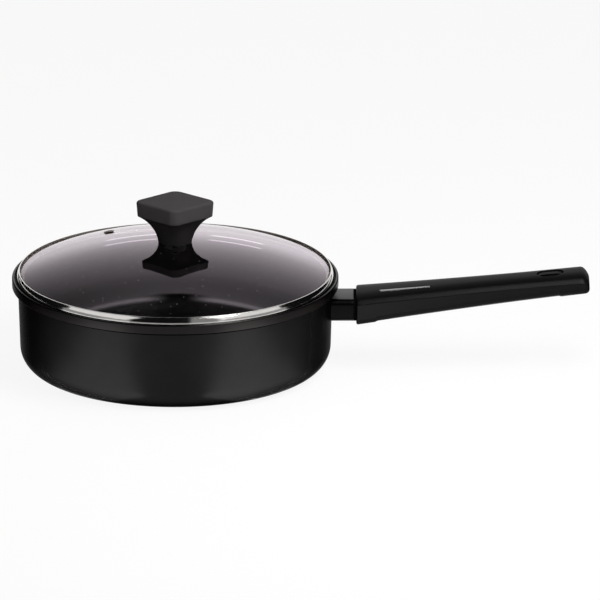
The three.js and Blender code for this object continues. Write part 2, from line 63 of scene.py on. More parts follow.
HANDLE_AXIS_HEIGHT = 47.95
LUG_WIDTH, LUG_HEIGHT, LUG_ROUND = 28.0, 11.2, 2.0
LUG_END, LUG_EDGE = 131.5, 0.6
GUARD_WIDTH, GUARD_HEIGHT, GUARD_ROUND = 34.2, 17.4, 4.5
GUARD_END = 136.4
GUARD_END_ROUND = 0.08
NECK_INSET, NECK_GAP, NECK_SINK = 0.05, 0.02, 0.6
TENON_EDGE = 0.5
SCREW_RADIUS = 2.5
SCREW_TIP = 122.5
SCREW_SEAT = 168.5
SCREW_HEAD_RADIUS, SCREW_HEAD_LENGTH, SCREW_HEAD_CROWN = 4.3, 3.6, 1.6
SCREW_RECESS_DEPTH = 1.8
SPRING_WASHER_RADIUS, SPRING_WASHER_THICKNESS, SPRING_WASHER_PITCH = 4.4, 1.3, 0.3
DRIVER_BORE_RADIUS = 4.8

GRIP_FRONT = 138.5
GRIP_LENGTH = 178.4
GRIP_TAIL = GRIP_FRONT + GRIP_LENGTH
GRIP_TOP_HEIGHT = 57.8
GRIP_SLOPE = math.radians(5.36)
GRIP_FRONT_DEPTH, GRIP_END_DEPTH = 20.4, 12.9
GRIP_FRONT_WIDTH, GRIP_WAIST_WIDTH, GRIP_END_WIDTH = 44.6, 34.8, 37.0
GRIP_WAIST_PLACE, GRIP_WAIST_POWER = 0.69, 1.6
GRIP_CROWN, GRIP_CROWN_POWER = 1.9, 3.0
GRIP_BEVEL_FLATNESS, GRIP_SMOOTHING = 0.75, 60
GRIP_TOP_ROUND, GRIP_BOTTOM_ROUND = 3.6, 5.5
GRIP_FRONT_ROUND = 1.6
GRIP_TAIL_TOP_ROUND, GRIP_TAIL_LOWER_ROUND = 7.0, 3.4
GRIP_TAIL_REACH, GRIP_TAIL_FULLNESS, GRIP_TAIL_TIP = 7.0, 2.3, 2.4
GRIP_NEAR_DRAW, GRIP_NEAR_FULLNESS = 1.6, 8.0
GRIP_ROUND_SHARE = 0.95
RELIEF_DEPTH, RELIEF_RAMP = 0.7, 3.0
RELIEF_FRONT_MARGIN, RELIEF_TAIL_MARGIN = 14.0, 21.0
HANG_SLOT_LENGTH, HANG_SLOT_WIDTH, HANG_SLOT_PLACE = 19.0, 13.4, 286.9
HANG_SLOT_ROUND, HANG_SLOT_SHADE = 1.2, 2.9
HANG_SLOT_CLEAR, HANG_SLOT_LIFT = 2.0, 0.02

INLAY_LENGTH, INLAY_FRONT_WIDTH, INLAY_TAIL_WIDTH = 39.5, 4.4, 2.2
INLAY_THICKNESS, INLAY_SINK, INLAY_CENTRE, INLAY_OFFSET = 1.1, 0.1, 175.35, 6.4
INLAY_SLANT, INLAY_CORNER_ROUND, INLAY_POCKET_RISE = 1.6, 0.5, 3.0
INLAY_EDGE, INLAY_SMOOTHING = 0.3, 50

LID_HEIGHT = 69.2
BAND_RADIUS, BAND_HEIGHT, BAND_THICKNESS = 121.7, 7.0, 0.8
BAND_TOP_RADIUS, BAND_LIP_RADIUS, BAND_FLANGE_RADIUS = 119.85, 119.05, 115.6
BAND_BULGE_RADIUS, BAND_BULGE_DROP, BAND_LEAN = 10.5, 6.2, math.radians(34)
BAND_CLEARANCE = 0.2
DOME_RADIUS = 306.7
GLASS_THICKNESS = 4.0
GLASS_EDGE_RADIUS = 119.8
KNOB_HOLE_RADIUS = 3.6
BAND_SEAT_RADIUS, BAND_SEAT_SPHERE = 117.7, DOME_RADIUS + 1.0
DOME_CENTRE = LID_HEIGHT + BAND_HEIGHT - math.sqrt(BAND_SEAT_SPHERE ** 2 - BAND_SEAT_RADIUS ** 2)
GLASS_TOP = DOME_CENTRE + DOME_RADIUS
VENT_OFFSET, VENT_BEARING = 73.0, math.radians(135)
VENT_BORE_RADIUS, VENT_TUBE_RADIUS = 2.1, 2.9
VENT_FLANGE_RADIUS, VENT_FLANGE_THICKNESS = 4.0, 0.7

KNOB_HEIGHT, KNOB_SLAB_THICKNESS = 33.0, 12.7
KNOB_FOOT = GLASS_TOP + FIT_GAP
KNOB_TOP = KNOB_FOOT + KNOB_HEIGHT
KNOB_SLAB_BOTTOM = KNOB_TOP - KNOB_SLAB_THICKNESS
KNOB_HALF_LENGTH, KNOB_HALF_DEPTH = 29.4, 26.0
KNOB_CORNER_ROUND, KNOB_FRONT_ROUND = 4.5, 7.0
KNOB_SLAB_DRAFT, KNOB_SLAB_EDGE = 0.8, 0.1
KNOB_POINT_SPACING = 1.6
KNOB_TOP_ROUND, KNOB_TOP_CROWN = 2.0, 0.6
KNOB_FOOT_RADIUS, KNOB_FLARE_RADIUS = 12.8, 27.4
KNOB_RECESS_RADIUS, KNOB_RECESS_DEPTH = 10.8, 0.6
INSERT_RADIUS, INSERT_NECK_RADIUS, INSERT_BORE_RADIUS = 4.4, 3.9, 2.2
INSERT_LENGTH, INSERT_SOCKET_RADIUS = 14.0, 4.7
UPPER_RING_HOLE_RADIUS, UPPER_RING_RADIUS, UPPER_RING_THICKNESS = 3.6, 10.5, 0.7
WASHER_HOLE_RADIUS = 2.3
LOWER_RING_RADIUS, LOWER_RING_THICKNESS = 8.5, 1.2
STEEL_WASHER_RADIUS, STEEL_WASHER_THICKNESS = 7.5, 1.0
LID_SCREW_RADIUS, LID_SCREW_REACH = 2.0, 11.0
LID_SCREW_HEAD_RADIUS, LID_SCREW_HEAD_LENGTH = 4.2, 2.8
RECESS_REACH, RECESS_WIDTH, LID_RECESS_DEPTH = 1.7, 0.8, 1.6


# Shader recipes

def both_ways(operation):
    """An operator and its reflected form, each adding one Math node."""

    def forward(self, other):
        return self.join(operation, self, other)

    def reflected(self, other):
        return self.join(operation, other, self)

    return forward, reflected


class Value:
    """A number on a node's socket. Arithmetic on it adds Math nodes."""

    def __init__(self, recipe, socket):
        self.recipe = recipe
        self.socket = socket

    def join(self, operation, first, second):
        return self.recipe.add("ShaderNodeMath", {"operation": operation}, {0: first, 1: second})

    __add__, __radd__ = both_ways("ADD")
    __sub__, __rsub__ = both_ways("SUBTRACT")
    __mul__, __rmul__ = both_ways("MULTIPLY")
    __truediv__, __rtruediv__ = both_ways("DIVIDE")
    __pow__, __rpow__ = both_ways("POWER")


class Recipe:
    """The nodes of one finish."""

    def __init__(self, tree):
        self.tree = tree
        tree.nodes.clear()

    def add(self, kind, settings=None, sockets=None, output=0):
        node = self.tree.nodes.new(kind)
        for name, setting in (settings or {}).items():
            if name == "stops":
                self.set_stops(node.color_ramp, setting)
            else:
                setattr(node, name, setting)
        for key, value in (sockets or {}).items():
            socket = node.inputs[key]
            if isinstance(value, Value):
                self.tree.links.new(value.socket, socket)
            elif socket.type == "RGBA":
                socket.default_value = (*value, 1)
            else:
                socket.default_value = value
        return Value(self, node.outputs[output]) if len(node.outputs) else None

    def set_stops(self, ramp, stops):
        while len(ramp.elements) < len(stops):
            ramp.elements.new(1)
        for element, (place, level) in zip(ramp.elements, stops):
            element.position = place
            element.color = (level, level, level, 1)

    def mix(self, factor, first, second):
        return self.add(
            "ShaderNodeMix", {"data_type": "RGBA"}, {0: factor, 6: first, 7: second}, output=2
        )

    def place(self):
        return self.add("ShaderNodeTexCoord", output="Object")

    def stretched(self, scale):
        settings = {"operation": "MULTIPLY"}
        return self.add("ShaderNodeVectorMath", settings, {0: self.place(), 1: scale})

    def parts(self, vector):
        split = self.add("ShaderNodeSeparateXYZ", None, {0: vector}).socket.node
        return [Value(self, output) for output in split.outputs]

    def rays(self, *kinds):
        return [self.add("ShaderNodeLightPath", output=kind) for kind in kinds]

    def size(self, value):
        return self.add("ShaderNodeMath", {"operation": "ABSOLUTE"}, {0: value})

    def noise(self, scale, detail=2, where=None):
        sockets = {"Vector": where or self.place(), "Scale": scale, "Detail": detail}
        return self.add("ShaderNodeTexNoise", None, sockets)

    def ease(self, value, low, high):
        settings = {"interpolation_type": "SMOOTHSTEP"}
        return self.add("ShaderNodeMapRange", settings, {0: value, 1: low, 2: high})

    def bump(self, height, distance, strength=1.0):
        sockets = {"Height": height, "Distance": distance, "Strength": strength}
        return self.add("ShaderNodeBump", None, sockets)

    def surface(self, sockets):
        shader = self.add("ShaderNodeBsdfPrincipled", None, sockets)
        self.add("ShaderNodeOutputMaterial", None, {"Surface": shader})


def finish(mix_recipe):
    """Turns a recipe into the material of that name."""
    material = bpy.data.materials.new(mix_recipe.__name__)
    material.use_nodes = True
    mix_recipe(Recipe(material.node_tree))
    return material


def grey(level):
    return (level, level, level)


def baked_coat(recipe, dark, pale, roughness, edge):
    """Satin coat on the cast bowl, whose glancing edge shines as grey as the last number."""
    cloud = recipe.noise(60, 3)
    grain = recipe.noise(2600, 3)
    recipe.surface({
        "Base Color": recipe.mix(cloud, dark, pale),
        "Metallic": 1,
        "Roughness": roughness + 0.05 * cloud + 0.04 * grain,
        "Specular Tint": grey(edge),
        "Normal": recipe.bump(grain, 0.02 * MM, 0.5),
    })


def hazed_metal(recipe, dark, pale, roughness, scale=700):
    haze = recipe.noise(scale, 3)
    recipe.surface({
        "Base Color": recipe.mix(haze, dark, pale),
        "Metallic": 1,
        "Roughness": roughness + 0.14 * haze,
        "Normal": recipe.bump(haze, 0.02 * MM, 0.5),
    })


def moulded_knob(recipe, dark, pale):
    grain = recipe.noise(1400, 3)
    cloud = recipe.noise(90, 2)
    recipe.surface({
        "Base Color": recipe.mix(cloud, dark, pale),
        "Metallic": 0.1,
        "Roughness": 0.40 + 0.06 * cloud + 0.05 * grain,
        "Specular Tint": (0.42, 0.38, 0.40),
        "Specular IOR Level": 0,
        "Normal": recipe.bump(grain, 0.04 * MM, 0.6),
    })


def matt_mould(recipe, scale, dark, pale, roughness, specular=0, spread=0.10, depth=0.03, strength=0.5):
    grain = recipe.noise(scale, 3)
    recipe.surface({
        "Base Color": recipe.mix(grain, grey(dark), grey(pale)),
        "Specular IOR Level": specular,
        "Roughness": roughness + spread * grain,
        "Normal": recipe.bump(grain, depth * MM, strength),
    })


def rolling_marks(recipe):
    """Haze and fine hairlines of the rolled band."""
    return recipe.noise(220, 3), recipe.noise(1, 2, recipe.stretched((900, 900, 9000)))


@finish
def charcoal_coat(recipe):
    baked_coat(recipe, (0.0125, 0.0121, 0.0121), (0.0165, 0.0159, 0.0160), 0.37, 0.34)


@finish
def rim_coat(recipe):
    """The coat where it is worn smooth on the rim's top."""
    baked_coat(recipe, (0.0050, 0.0048, 0.0048), (0.0070, 0.0068, 0.0068), 0.26, 0.9)


@finish
def collar_coat(recipe):
    """The coat on the collar, a little warmer and smoother than on the wall."""
    baked_coat(recipe, (0.0158, 0.0146, 0.0144), (0.0204, 0.0188, 0.0186), 0.31, 0.35)


@finish
def guard_coat(recipe):
    cloud = recipe.noise(90, 3)
    grain = recipe.noise(3200, 2)
    recipe.surface({
        "Base Color": recipe.mix(cloud, grey(0.0026), grey(0.0036)),
        "Metallic": 1,
        "Roughness": 0.30 + 0.05 * cloud + 0.05 * grain,
        "Specular Tint": grey(1),
        "Normal": recipe.bump(grain, 0.02 * MM, 0.4),
    })


@finish
def stone_coat(recipe):
    cells = recipe.add(
        "ShaderNodeTexVoronoi", None, {"Vector": recipe.place(), "Scale": 400, "Randomness": 1}
    )
    cell_node = cells.socket.node
    chance = recipe.add("ShaderNodeSeparateColor", None, {0: Value(recipe, cell_node.outputs["Color"])})
    fleck = recipe.ease(cells, 0.32, 0.16) * recipe.ease(chance, 0.88, 0.92)
    cloud = recipe.noise(140, 4)
    dark = recipe.mix(cloud, (0.0016, 0.0014, 0.0015), (0.0042, 0.0038, 0.0040))
    recipe.surface({
        "Base Color": recipe.mix(fleck, dark, (0.075, 0.072, 0.073)),
        "Roughness": 0.46 + 0.10 * cloud,
        "Specular IOR Level": 0.06,
        "Normal": recipe.bump(recipe.noise(1500, 3) + 0.4 * fleck, 0.04 * MM, 0.6),
    })


@finish
def grip_plastic(recipe):
    grain = recipe.noise(1900, 3)
    cloud = recipe.noise(70, 2)
    recipe.surface({
        "Base Color": recipe.mix(cloud, (0.0080, 0.0081, 0.0081), (0.0096, 0.0097, 0.0097)),
        "Metallic": 0.65,
        "Specular IOR Level": 0,
        "Roughness": 0.27 + 0.05 * cloud + 0.05 * grain,
        "Specular Tint": grey(0.6),
        "Normal": recipe.bump(grain, 0.03 * MM, 0.5),
    })


@finish
def painted_shade_plastic(recipe):
    """The grip's plastic painted near black as painted shade: in the narrow gap before the guard, and
    round and deep in the hang slot.
    """
    matt_mould(recipe, 1900, 0.0026, 0.0040, 0.60)


@finish
def painted_light_slot_plastic(recipe):
    """The grip's plastic inside the hang slot, painted lighter as painted light on the slot's upper
    wall, and matt from the mould.
    """
    matt_mould(recipe, 1500, 0.036, 0.044, 0.55, specular=0.1, depth=0.04, strength=0.6)


@finish
def eyelet_steel(recipe):
    hazed_metal(recipe, (0.13, 0.11, 0.09), (0.20, 0.17, 0.14), 0.30)


@finish
def knob_plastic(recipe):
    moulded_knob(recipe, (0.0600, 0.0556, 0.0570), (0.0676, 0.0632, 0.0646))


@finish
def painted_shade_knob_plastic(recipe):
    """The knob's plastic on the flare and foot, painted darker as painted shade under the slab."""
    moulded_knob(recipe, (0.0220, 0.0205, 0.0208), (0.0265, 0.0250, 0.0253))


@finish
def polished_steel(recipe):
    haze, hair = rolling_marks(recipe)
    recipe.surface({
        "Base Color": recipe.mix(haze, (0.74, 0.72, 0.70), (0.82, 0.80, 0.78)),
        "Metallic": 1,
        "Roughness": 0.07 + 0.03 * haze + 0.02 * hair,
        "Normal": recipe.bump(hair, 0.006 * MM, 0.4),
    })


@finish
def painted_shade_lip_steel(recipe):
    """The band's steel on the inner lip and the flange under the glass, painted dark and dull as painted
    shade.
    """
    haze, hair = rolling_marks(recipe)
    recipe.surface({
        "Base Color": recipe.mix(haze, (0.20, 0.18, 0.165), (0.27, 0.245, 0.225)),
        "Metallic": 0.4,
        "Specular IOR Level": 0.1,
        "Roughness": 0.48 + 0.06 * haze + 0.05 * hair,
        "Normal": recipe.bump(hair, 0.006 * MM, 0.4),
    })


@finish
def brushed_trim(recipe):
    hair = recipe.noise(1, 3, recipe.stretched((180, 5200, 5200)))
    recipe.surface({
        "Base Color": recipe.mix(hair, grey(0.32), (0.44, 0.44, 0.436)),
        "Metallic": 1,
        "Roughness": 0.26 + 0.12 * hair,
        "Normal": recipe.bump(hair, 0.02 * MM, 0.5),
    })


@finish
def turned_steel(recipe):
    flat = recipe.stretched((1, 1, 0))
    radius = recipe.add("ShaderNodeVectorMath", {"operation": "LENGTH"}, {0: flat}, output="Value")
    rings = recipe.add("ShaderNodeTexNoise", {"noise_dimensions": "1D"}, {"W": radius, "Scale": 4200})
    haze = recipe.noise(120, 3)
    recipe.surface({
        "Base Color": recipe.mix(haze, (0.52, 0.51, 0.50), (0.66, 0.65, 0.63)),
        "Metallic": 1,
        "Roughness": 0.24 + 0.10 * rings + 0.06 * haze,
        "Normal": recipe.bump(rings, 0.04 * MM, 0.7),
    })


@finish
def zinc_steel(recipe):
    hazed_metal(recipe, (0.44, 0.45, 0.46), (0.62, 0.62, 0.61), 0.28)


# Steel painted near black as painted shade, for the parts below the knob's foot.
@finish
def painted_shade_steel(recipe):
    hazed_metal(recipe, (0.016, 0.016, 0.017), (0.034, 0.034, 0.035), 0.34)


@finish
def insert_brass(recipe):
    hazed_metal(recipe, (0.42, 0.31, 0.12), (0.58, 0.45, 0.20), 0.28, 600)


@finish
def silicone_rubber(recipe):
    matt_mould(recipe, 1800, 0.004, 0.007, 0.62, specular=0.3, spread=0.12)


@finish
def tempered_glass(recipe):
    """Clear sheet: what it doesn't mirror, off both of its faces together, shows through."""
    weight = recipe.add("ShaderNodeLayerWeight", None, {"Blend": 0.5}, output="Facing")
    one_face = 0.04 + 0.96 * weight ** 5
    inside = recipe.add("ShaderNodeNewGeometry", output="Backfacing")
    smear = recipe.noise(40, 4)
    recipe.surface({
        "Base Color": recipe.mix(smear, (1.0, 0.880, 0.965), (1.0, 0.895, 0.980)),
        "Metallic": 1,
        "Roughness": 0.012 + 0.012 * smear,
        "Alpha": 2 * one_face / (1 + one_face) * (1 - inside),
    })


# Mesh tools

EDGE_ANGLE = 36
ARC_STEPS, ARC_DENSITY = 4, 2.2
SAME_SKIN_GAP, SAME_SKIN_TURN = 0.02, 0.97


def softened(corners, closed=False):
    """Points of a polygon of (across, up, round) corners, with an arc in place of each round."""
    points = []
    for i, corner in enumerate(corners):
        here = Vector(corner[:2])
        radius = corner[2] if len(corner) > 2 else 0
        at_end = not closed and i in (0, len(corners) - 1)
        if not radius or at_end:
            points.append(here)
            continue
        before = (Vector(corners[i - 1][:2]) - here).normalized()
        after = (Vector(corners[(i + 1) % len(corners)][:2]) - here).normalized()
        half = before.angle(after) / 2
        inward = (before + after).normalized()
        centre = here + inward * radius / math.sin(half)
        sweep = math.pi - 2 * half
        turn = -math.copysign(1, before.x * after.y - before.y * after.x)
        steps = round(ARC_STEPS + ARC_DENSITY * math.sqrt(radius) * sweep)
        for step in range(steps + 1):
            angle = turn * sweep * (step / steps - 0.5)
            points.append(centre - Matrix.Rotation(angle, 2) @ inward * radius)
    return points


def new_piece(name, mesh):
    bmesh.ops.recalc_face_normals(mesh, faces=mesh.faces)
    data = bpy.data.meshes.new(name)
    mesh.to_mesh(data)
    mesh.free()
    piece = bpy.data.objects.new(name, data)
    bpy.context.scene.collection.objects.link(piece)
    return piece


def skinned(name, rings, closed=False):
    """Skin over rings of points in millimetres. A ring of one point is a pole."""
    mesh = bmesh.new()
    levels = [[mesh.verts.new(Vector(point) * MM) for point in ring] for ring in rings]
    count = max(len(level) for level in levels)
    for low, high in zip(levels, levels[1:] + levels[:1] if closed else levels[1:]):
        for i in range(count):
            j = (i + 1) % count
            corners = [low[i % len(low)], low[j % len(low)], high[j % len(high)], high[i % len(high)]]
            mesh.faces.new(list(dict.fromkeys(corners)))
    if not closed:
        for level in (levels[0], levels[-1]):
            if len(level) > 1:
                mesh.faces.new(level)
    return new_piece(name, mesh)


def turned(name, profile, closed=False, facets=240):
    """Body turned about Z from points of radius and height."""
    rings = []
    for radius, height in profile:
        if radius < 1e-6:
            rings.append([(0, 0, height)])
            continue
        angles = [math.tau * i / facets for i in range(facets)]
        rings.append([(radius * math.cos(a), radius * math.sin(a), height) for a in angles])
    return skinned(name, rings, closed)


def turned_ring(name, corners, facets=240):
    """Ring turned from a closed section of (radius, height, round) corners."""
    return smoothed(turned(name, softened(corners, closed=True), closed=True, facets=facets))


def moved(piece, matrix):
    piece.data.transform(matrix)
    return piece


def carved(piece, *cutters):
    for cutter in cutters:
        cut = piece.modifiers.new("cut", "BOOLEAN")
        cut.operation = "DIFFERENCE"
        cut.solver = "EXACT"
        cut.object = cutter
        graph = bpy.context.evaluated_depsgraph_get()
        result = bpy.data.meshes.new_from_object(piece.evaluated_get(graph))
        piece.modifiers.clear()
        spare = piece.data
        piece.data = result
        result.name = piece.name
        bpy.data.meshes.remove(spare)
        bpy.data.meshes.remove(cutter.data)
    return piece


def smoothed(piece, angle=EDGE_ANGLE):
    piece.data.shade_smooth()
    piece.data.set_sharp_from_angle(angle=math.radians(angle))
    return piece


def borrow_normals(piece, skin):
    """Gives a carved piece the smooth normals of its uncut skin wherever the two still coincide."""
    spots = [vertex.co.copy() for vertex in skin.vertices]
    tree = BVHTree.FromPolygons(spots, [list(face.vertices) for face in skin.polygons])
    normals = [corner.vector.copy() for corner in piece.data.corner_normals]
    skin_normals = [corner.vector.copy() for corner in skin.corner_normals]
    for face in piece.data.polygons:
        _, normal, _, gap = tree.find_nearest(face.center)
        if gap > SAME_SKIN_GAP * MM or normal.dot(face.normal) < SAME_SKIN_TURN:
            continue
        for corner in face.loop_indices:
            spot = piece.data.vertices[piece.data.loops[corner].vertex_index].co
            near, _, index, _ = tree.find_nearest(spot)
            under = skin.polygons[index]
            weights = poly_3d_calc([spots[v] for v in under.vertices], near)
            blended = Vector()
            for weight, loop in zip(weights, under.loop_indices):
                blended += weight * skin_normals[loop]
            normals[corner] = blended.normalized()
    piece.data.normals_split_custom_set(normals)


def fitted(piece, body, node, slot, *finishes):
    for material in finishes:
        piece.data.materials.append(material)
    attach(piece, body)
    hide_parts(node)
    return piece


def steps_to(end, count):
    return [end * step / count for step in range(count + 1)]


def ease(t):
    t = min(1, max(0, t))
    return t * t * (3 - 2 * t)


def rounded_rectangle(width, height, radius, steps=10):
    points = []
    for quarter in range(4):
        side = 1 if quarter in (0, 3) else -1
        level = 1 if quarter < 2 else -1
        for step in range(steps + 1):
            angle = math.pi / 2 * (quarter + step / steps)
            y = side * (width / 2 - radius) + radius * math.cos(angle)
            z = level * (height / 2 - radius) + radius * math.sin(angle)
            points.append((y, z))
    return points


def slot_outline(length, width, margin, steps=24):
    """Outline along X with two round ends, grown by the margin."""
    reach = width / 2 + margin
    points = []
    for side, start in ((1, -math.pi / 2), (-1, math.pi / 2)):
        for turn in steps_to(math.pi, steps):
            x, y = reach * math.cos(start + turn), reach * math.sin(start + turn)
            points.append((side * (length - width) / 2 + x, y))
    return points


def on_handle_axis(piece):
    """Lays a turned piece along the handle's level axis, its local height along X."""
    along = Matrix(((0, 0, 1, 0), (1, 0, 0, 0), (0, 1, 0, HANDLE_AXIS_HEIGHT * MM), (0, 0, 0, 1)))
    return moved(piece, along)


def rod(name, radius, low, high, facets=48):
    return turned(name, [(0, low), (radius, low), (radius, high), (0, high)], facets=facets)


def washer(name, inner, outer, low, high, edge, facets=96):
    """Flat ring with rounded edges."""
    corners = [(inner, low, edge), (outer, low, edge), (outer, high, edge), (inner, high, edge)]
    return turned_ring(name, corners, facets)


def cross_recess(low, high, floor_share=0.45):
    """Cutter for a cross-slotted screw head, tapering from high to low."""
    outline, quarter = [], [(1, 1), (1, 3), (-1, 3)]
    for _ in range(4):
        outline += quarter
        quarter = [(-y, x) for x, y in quarter]
    rings = []
    for height, share in ((low, floor_share), (high, 1.0)):
        spread = {1: RECESS_WIDTH / 2, 3: RECESS_REACH * share}
        ring = []
        for x, y in outline:
            ring.append((math.copysign(spread[abs(x)], x), math.copysign(spread[abs(y)], y), height))
        rings.append(ring)
    return skinned("cross_recess", rings)


def handle_ring(section, x, width, height, shrink=0.0):
    """A section across the handle at x, drawn in on all sides by the shrink."""
    scale_y, scale_z = 1 - 2 * shrink / width, 1 - 2 * shrink / height
    return [(x, y * scale_y, HANDLE_AXIS_HEIGHT + z * scale_z) for y, z in section]


def carved_smooth(piece, angle, *cutters):
    """Carves a smooth piece and keeps its uncut skin's shading."""
    skin = smoothed(piece, angle).data.copy()
    carved(piece, *cutters)
    borrow_normals(smoothed(piece, angle), skin)
    bpy.data.meshes.remove(skin)
    return piece


# Bowl

def wall_radius(height, inset=0.0):
    offset = WALL_TOP_RADIUS * math.cos(WALL_DRAFT) - COLLAR_BOTTOM * math.sin(WALL_DRAFT)
    return (offset - inset + height * math.sin(WALL_DRAFT)) / math.cos(WALL_DRAFT)


def pan_bowl():
    boss = PLATE_HOLE_RADIUS - FIT_GAP
    recess = PLATE_RADIUS + FIT_GAP
    groove_edge = wall_radius(GROOVE_HEIGHT)
    groove = groove_edge - GROOVE_DEPTH
    profile = softened([
        (0, 0),
        (boss, 0, 0.3),
        (boss, PLATE_RECESS, 0.2),
        (recess, PLATE_RECESS, 0.2),
        (recess, 0, 0.3),
        (wall_radius(0), 0, BASE_FILLET),
        (groove_edge, GROOVE_HEIGHT, 0.2),
        (groove, GROOVE_HEIGHT + GROOVE_RISE, 0.2),
        (groove, COLLAR_BOTTOM, 0.3),
        (COLLAR_RADIUS, COLLAR_BOTTOM, 0.5),
        (COLLAR_RADIUS, PAN_HEIGHT, 1.0),
        (SEAT_RADIUS, PAN_HEIGHT, 0.5),
        (SEAT_RADIUS, SEAT_HEIGHT, 0.4),
        (wall_radius(SEAT_HEIGHT, WALL_THICKNESS), SEAT_HEIGHT, 0.6),
        (wall_radius(FLOOR_THICKNESS, WALL_THICKNESS), FLOOR_THICKNESS, INNER_FILLET),
        (0, FLOOR_THICKNESS),
    ])
    bowl = smoothed(turned("pan_bowl_cast", profile, facets=288))
    fitted(bowl, "pan", "pan_bowl", "coated_aluminium", charcoal_coat, stone_coat, rim_coat, collar_coat)
    for face in bowl.data.polygons:
        height = face.center.z / MM
        outward = (face.normal.x * face.center.x + face.normal.y * face.center.y) / MM
        on_rim = face.normal.z > 0.5 and height > PAN_HEIGHT - 1
        on_collar = outward > 0.5 * COLLAR_RADIUS and height > COLLAR_BOTTOM - 0.1
        on_floor_or_seat = face.normal.z > 0.3 and height < SEAT_HEIGHT + 0.2
        on_inner_wall = outward < 0 and height < PAN_HEIGHT - 0.4
        if on_rim:
            face.material_index = 2
        if on_collar:
            face.material_index = 3
        if height > 1.5 * PLATE_RECESS and (on_floor_or_seat or on_inner_wall):
            face.material_index = 1


def bowl_lug():
    section = rounded_rectangle(LUG_WIDTH, LUG_HEIGHT, LUG_ROUND)
    root = wall_radius(HANDLE_AXIS_HEIGHT, WALL_THICKNESS / 2)
    rings = []
    edge = LUG_EDGE
    for x, shrink in ((root, 0), (LUG_END - edge, 0), (LUG_END - edge / 3, edge / 3), (LUG_END, edge)):
        rings.append(handle_ring(section, x, LUG_WIDTH, LUG_HEIGHT, shrink))
    lug = skinned("pan_bowl_lug", rings)
    bore = rod("lug_bore", SCREW_RADIUS + BORE_CLEARANCE, SCREW_TIP - FIT_GAP, LUG_END + 1)
    bore = on_handle_axis(bore)
    fitted(smoothed(carved(lug, bore)), "pan", "pan_bowl", "coated_aluminium", charcoal_coat)


def base_plate():
    corners = [
        (PLATE_HOLE_RADIUS, 0, 0.25),
        (PLATE_RADIUS, 0, 0.25),
        (PLATE_RADIUS, PLATE_THICKNESS, 0.1),
        (PLATE_HOLE_RADIUS, PLATE_THICKNESS, 0.1),
    ]
    fitted(turned_ring("hob_plate", corners), "pan", "base_plate", "hob_plate_steel", turned_steel)


# Handle

def flame_guard():
    """Sleeve over the lug: its inner end follows the round wall and its outer end is softened."""
    outer = rounded_rectangle(GUARD_WIDTH, GUARD_HEIGHT, GUARD_ROUND)
    inner = rounded_rectangle(LUG_WIDTH + 2 * FIT_GAP, LUG_HEIGHT + 2 * FIT_GAP, LUG_ROUND + FIT_GAP)

    def at_wall(section):
        ring = []
        for y, z in section:
            reach = wall_radius(HANDLE_AXIS_HEIGHT + z) + FIT_GAP
            ring.append((math.sqrt(reach ** 2 - y ** 2), y, HANDLE_AXIS_HEIGHT + z))
        return ring

    start = at_wall(outer)
    rings = [start]
    for step in range(1, 8):
        t = step / 8
        rings.append([(x + (GUARD_END - GUARD_END_ROUND - x) * t, y, z) for x, y, z in start])
    for angle in steps_to(math.pi / 2, 6):
        x = GUARD_END - GUARD_END_ROUND * (1 - math.sin(angle))
        draw = GUARD_END_ROUND * (1 - math.cos(angle))
        rings.append(handle_ring(outer, x, GUARD_WIDTH, GUARD_HEIGHT, draw))
    rings.append(handle_ring(inner, GUARD_END, LUG_WIDTH, LUG_HEIGHT))
    rings.append(at_wall(inner))
    guard = smoothed(skinned("guard_sleeve", rings, closed=True))
    fitted(guard, "pan", "flame_guard", "guard_coating", guard_coat)


def grip_top(x):
    return GRIP_TOP_HEIGHT + (x - GRIP_FRONT) * math.tan(GRIP_SLOPE)


def grip_bottom(x):
    t = (x - GRIP_FRONT) / GRIP_LENGTH
    depth = GRIP_FRONT_DEPTH + (GRIP_END_DEPTH - GRIP_FRONT_DEPTH) * t
    rise = ease((x - GRIP_FRONT - RELIEF_FRONT_MARGIN) / RELIEF_RAMP)
    fall = ease((GRIP_TAIL - RELIEF_TAIL_MARGIN - x) / RELIEF_RAMP)
    return grip_top(x) - depth + RELIEF_DEPTH * min(rise, fall)


def grip_width(x):
    t = (x - GRIP_FRONT) / GRIP_LENGTH
    if t < GRIP_WAIST_PLACE:
        reach, end_width = 1 - t / GRIP_WAIST_PLACE, GRIP_FRONT_WIDTH
    else:
        reach, end_width = (t - GRIP_WAIST_PLACE) / (1 - GRIP_WAIST_PLACE), GRIP_END_WIDTH
    return GRIP_WAIST_WIDTH + (end_width - GRIP_WAIST_WIDTH) * reach ** GRIP_WAIST_POWER


def end_inset(distance, reach):
    t = max(0, 1 - distance / reach)
    return reach * (1 - math.sqrt(1 - t * t))


def tail_draws(x):
    """How far the tail's sides draw in: the far one in a blunt bow, the near one in a small corner."""
    t = max(0, 1 - (GRIP_TAIL - x) / GRIP_TAIL_REACH)
    far = (grip_width(x) / 2 - GRIP_TAIL_TIP) * t ** GRIP_TAIL_FULLNESS
    return far, GRIP_NEAR_DRAW * t ** GRIP_NEAR_FULLNESS


def crown_rise(y, flat_half):
    return GRIP_CROWN * (1 - min(1, abs(y) / flat_half) ** GRIP_CROWN_POWER)


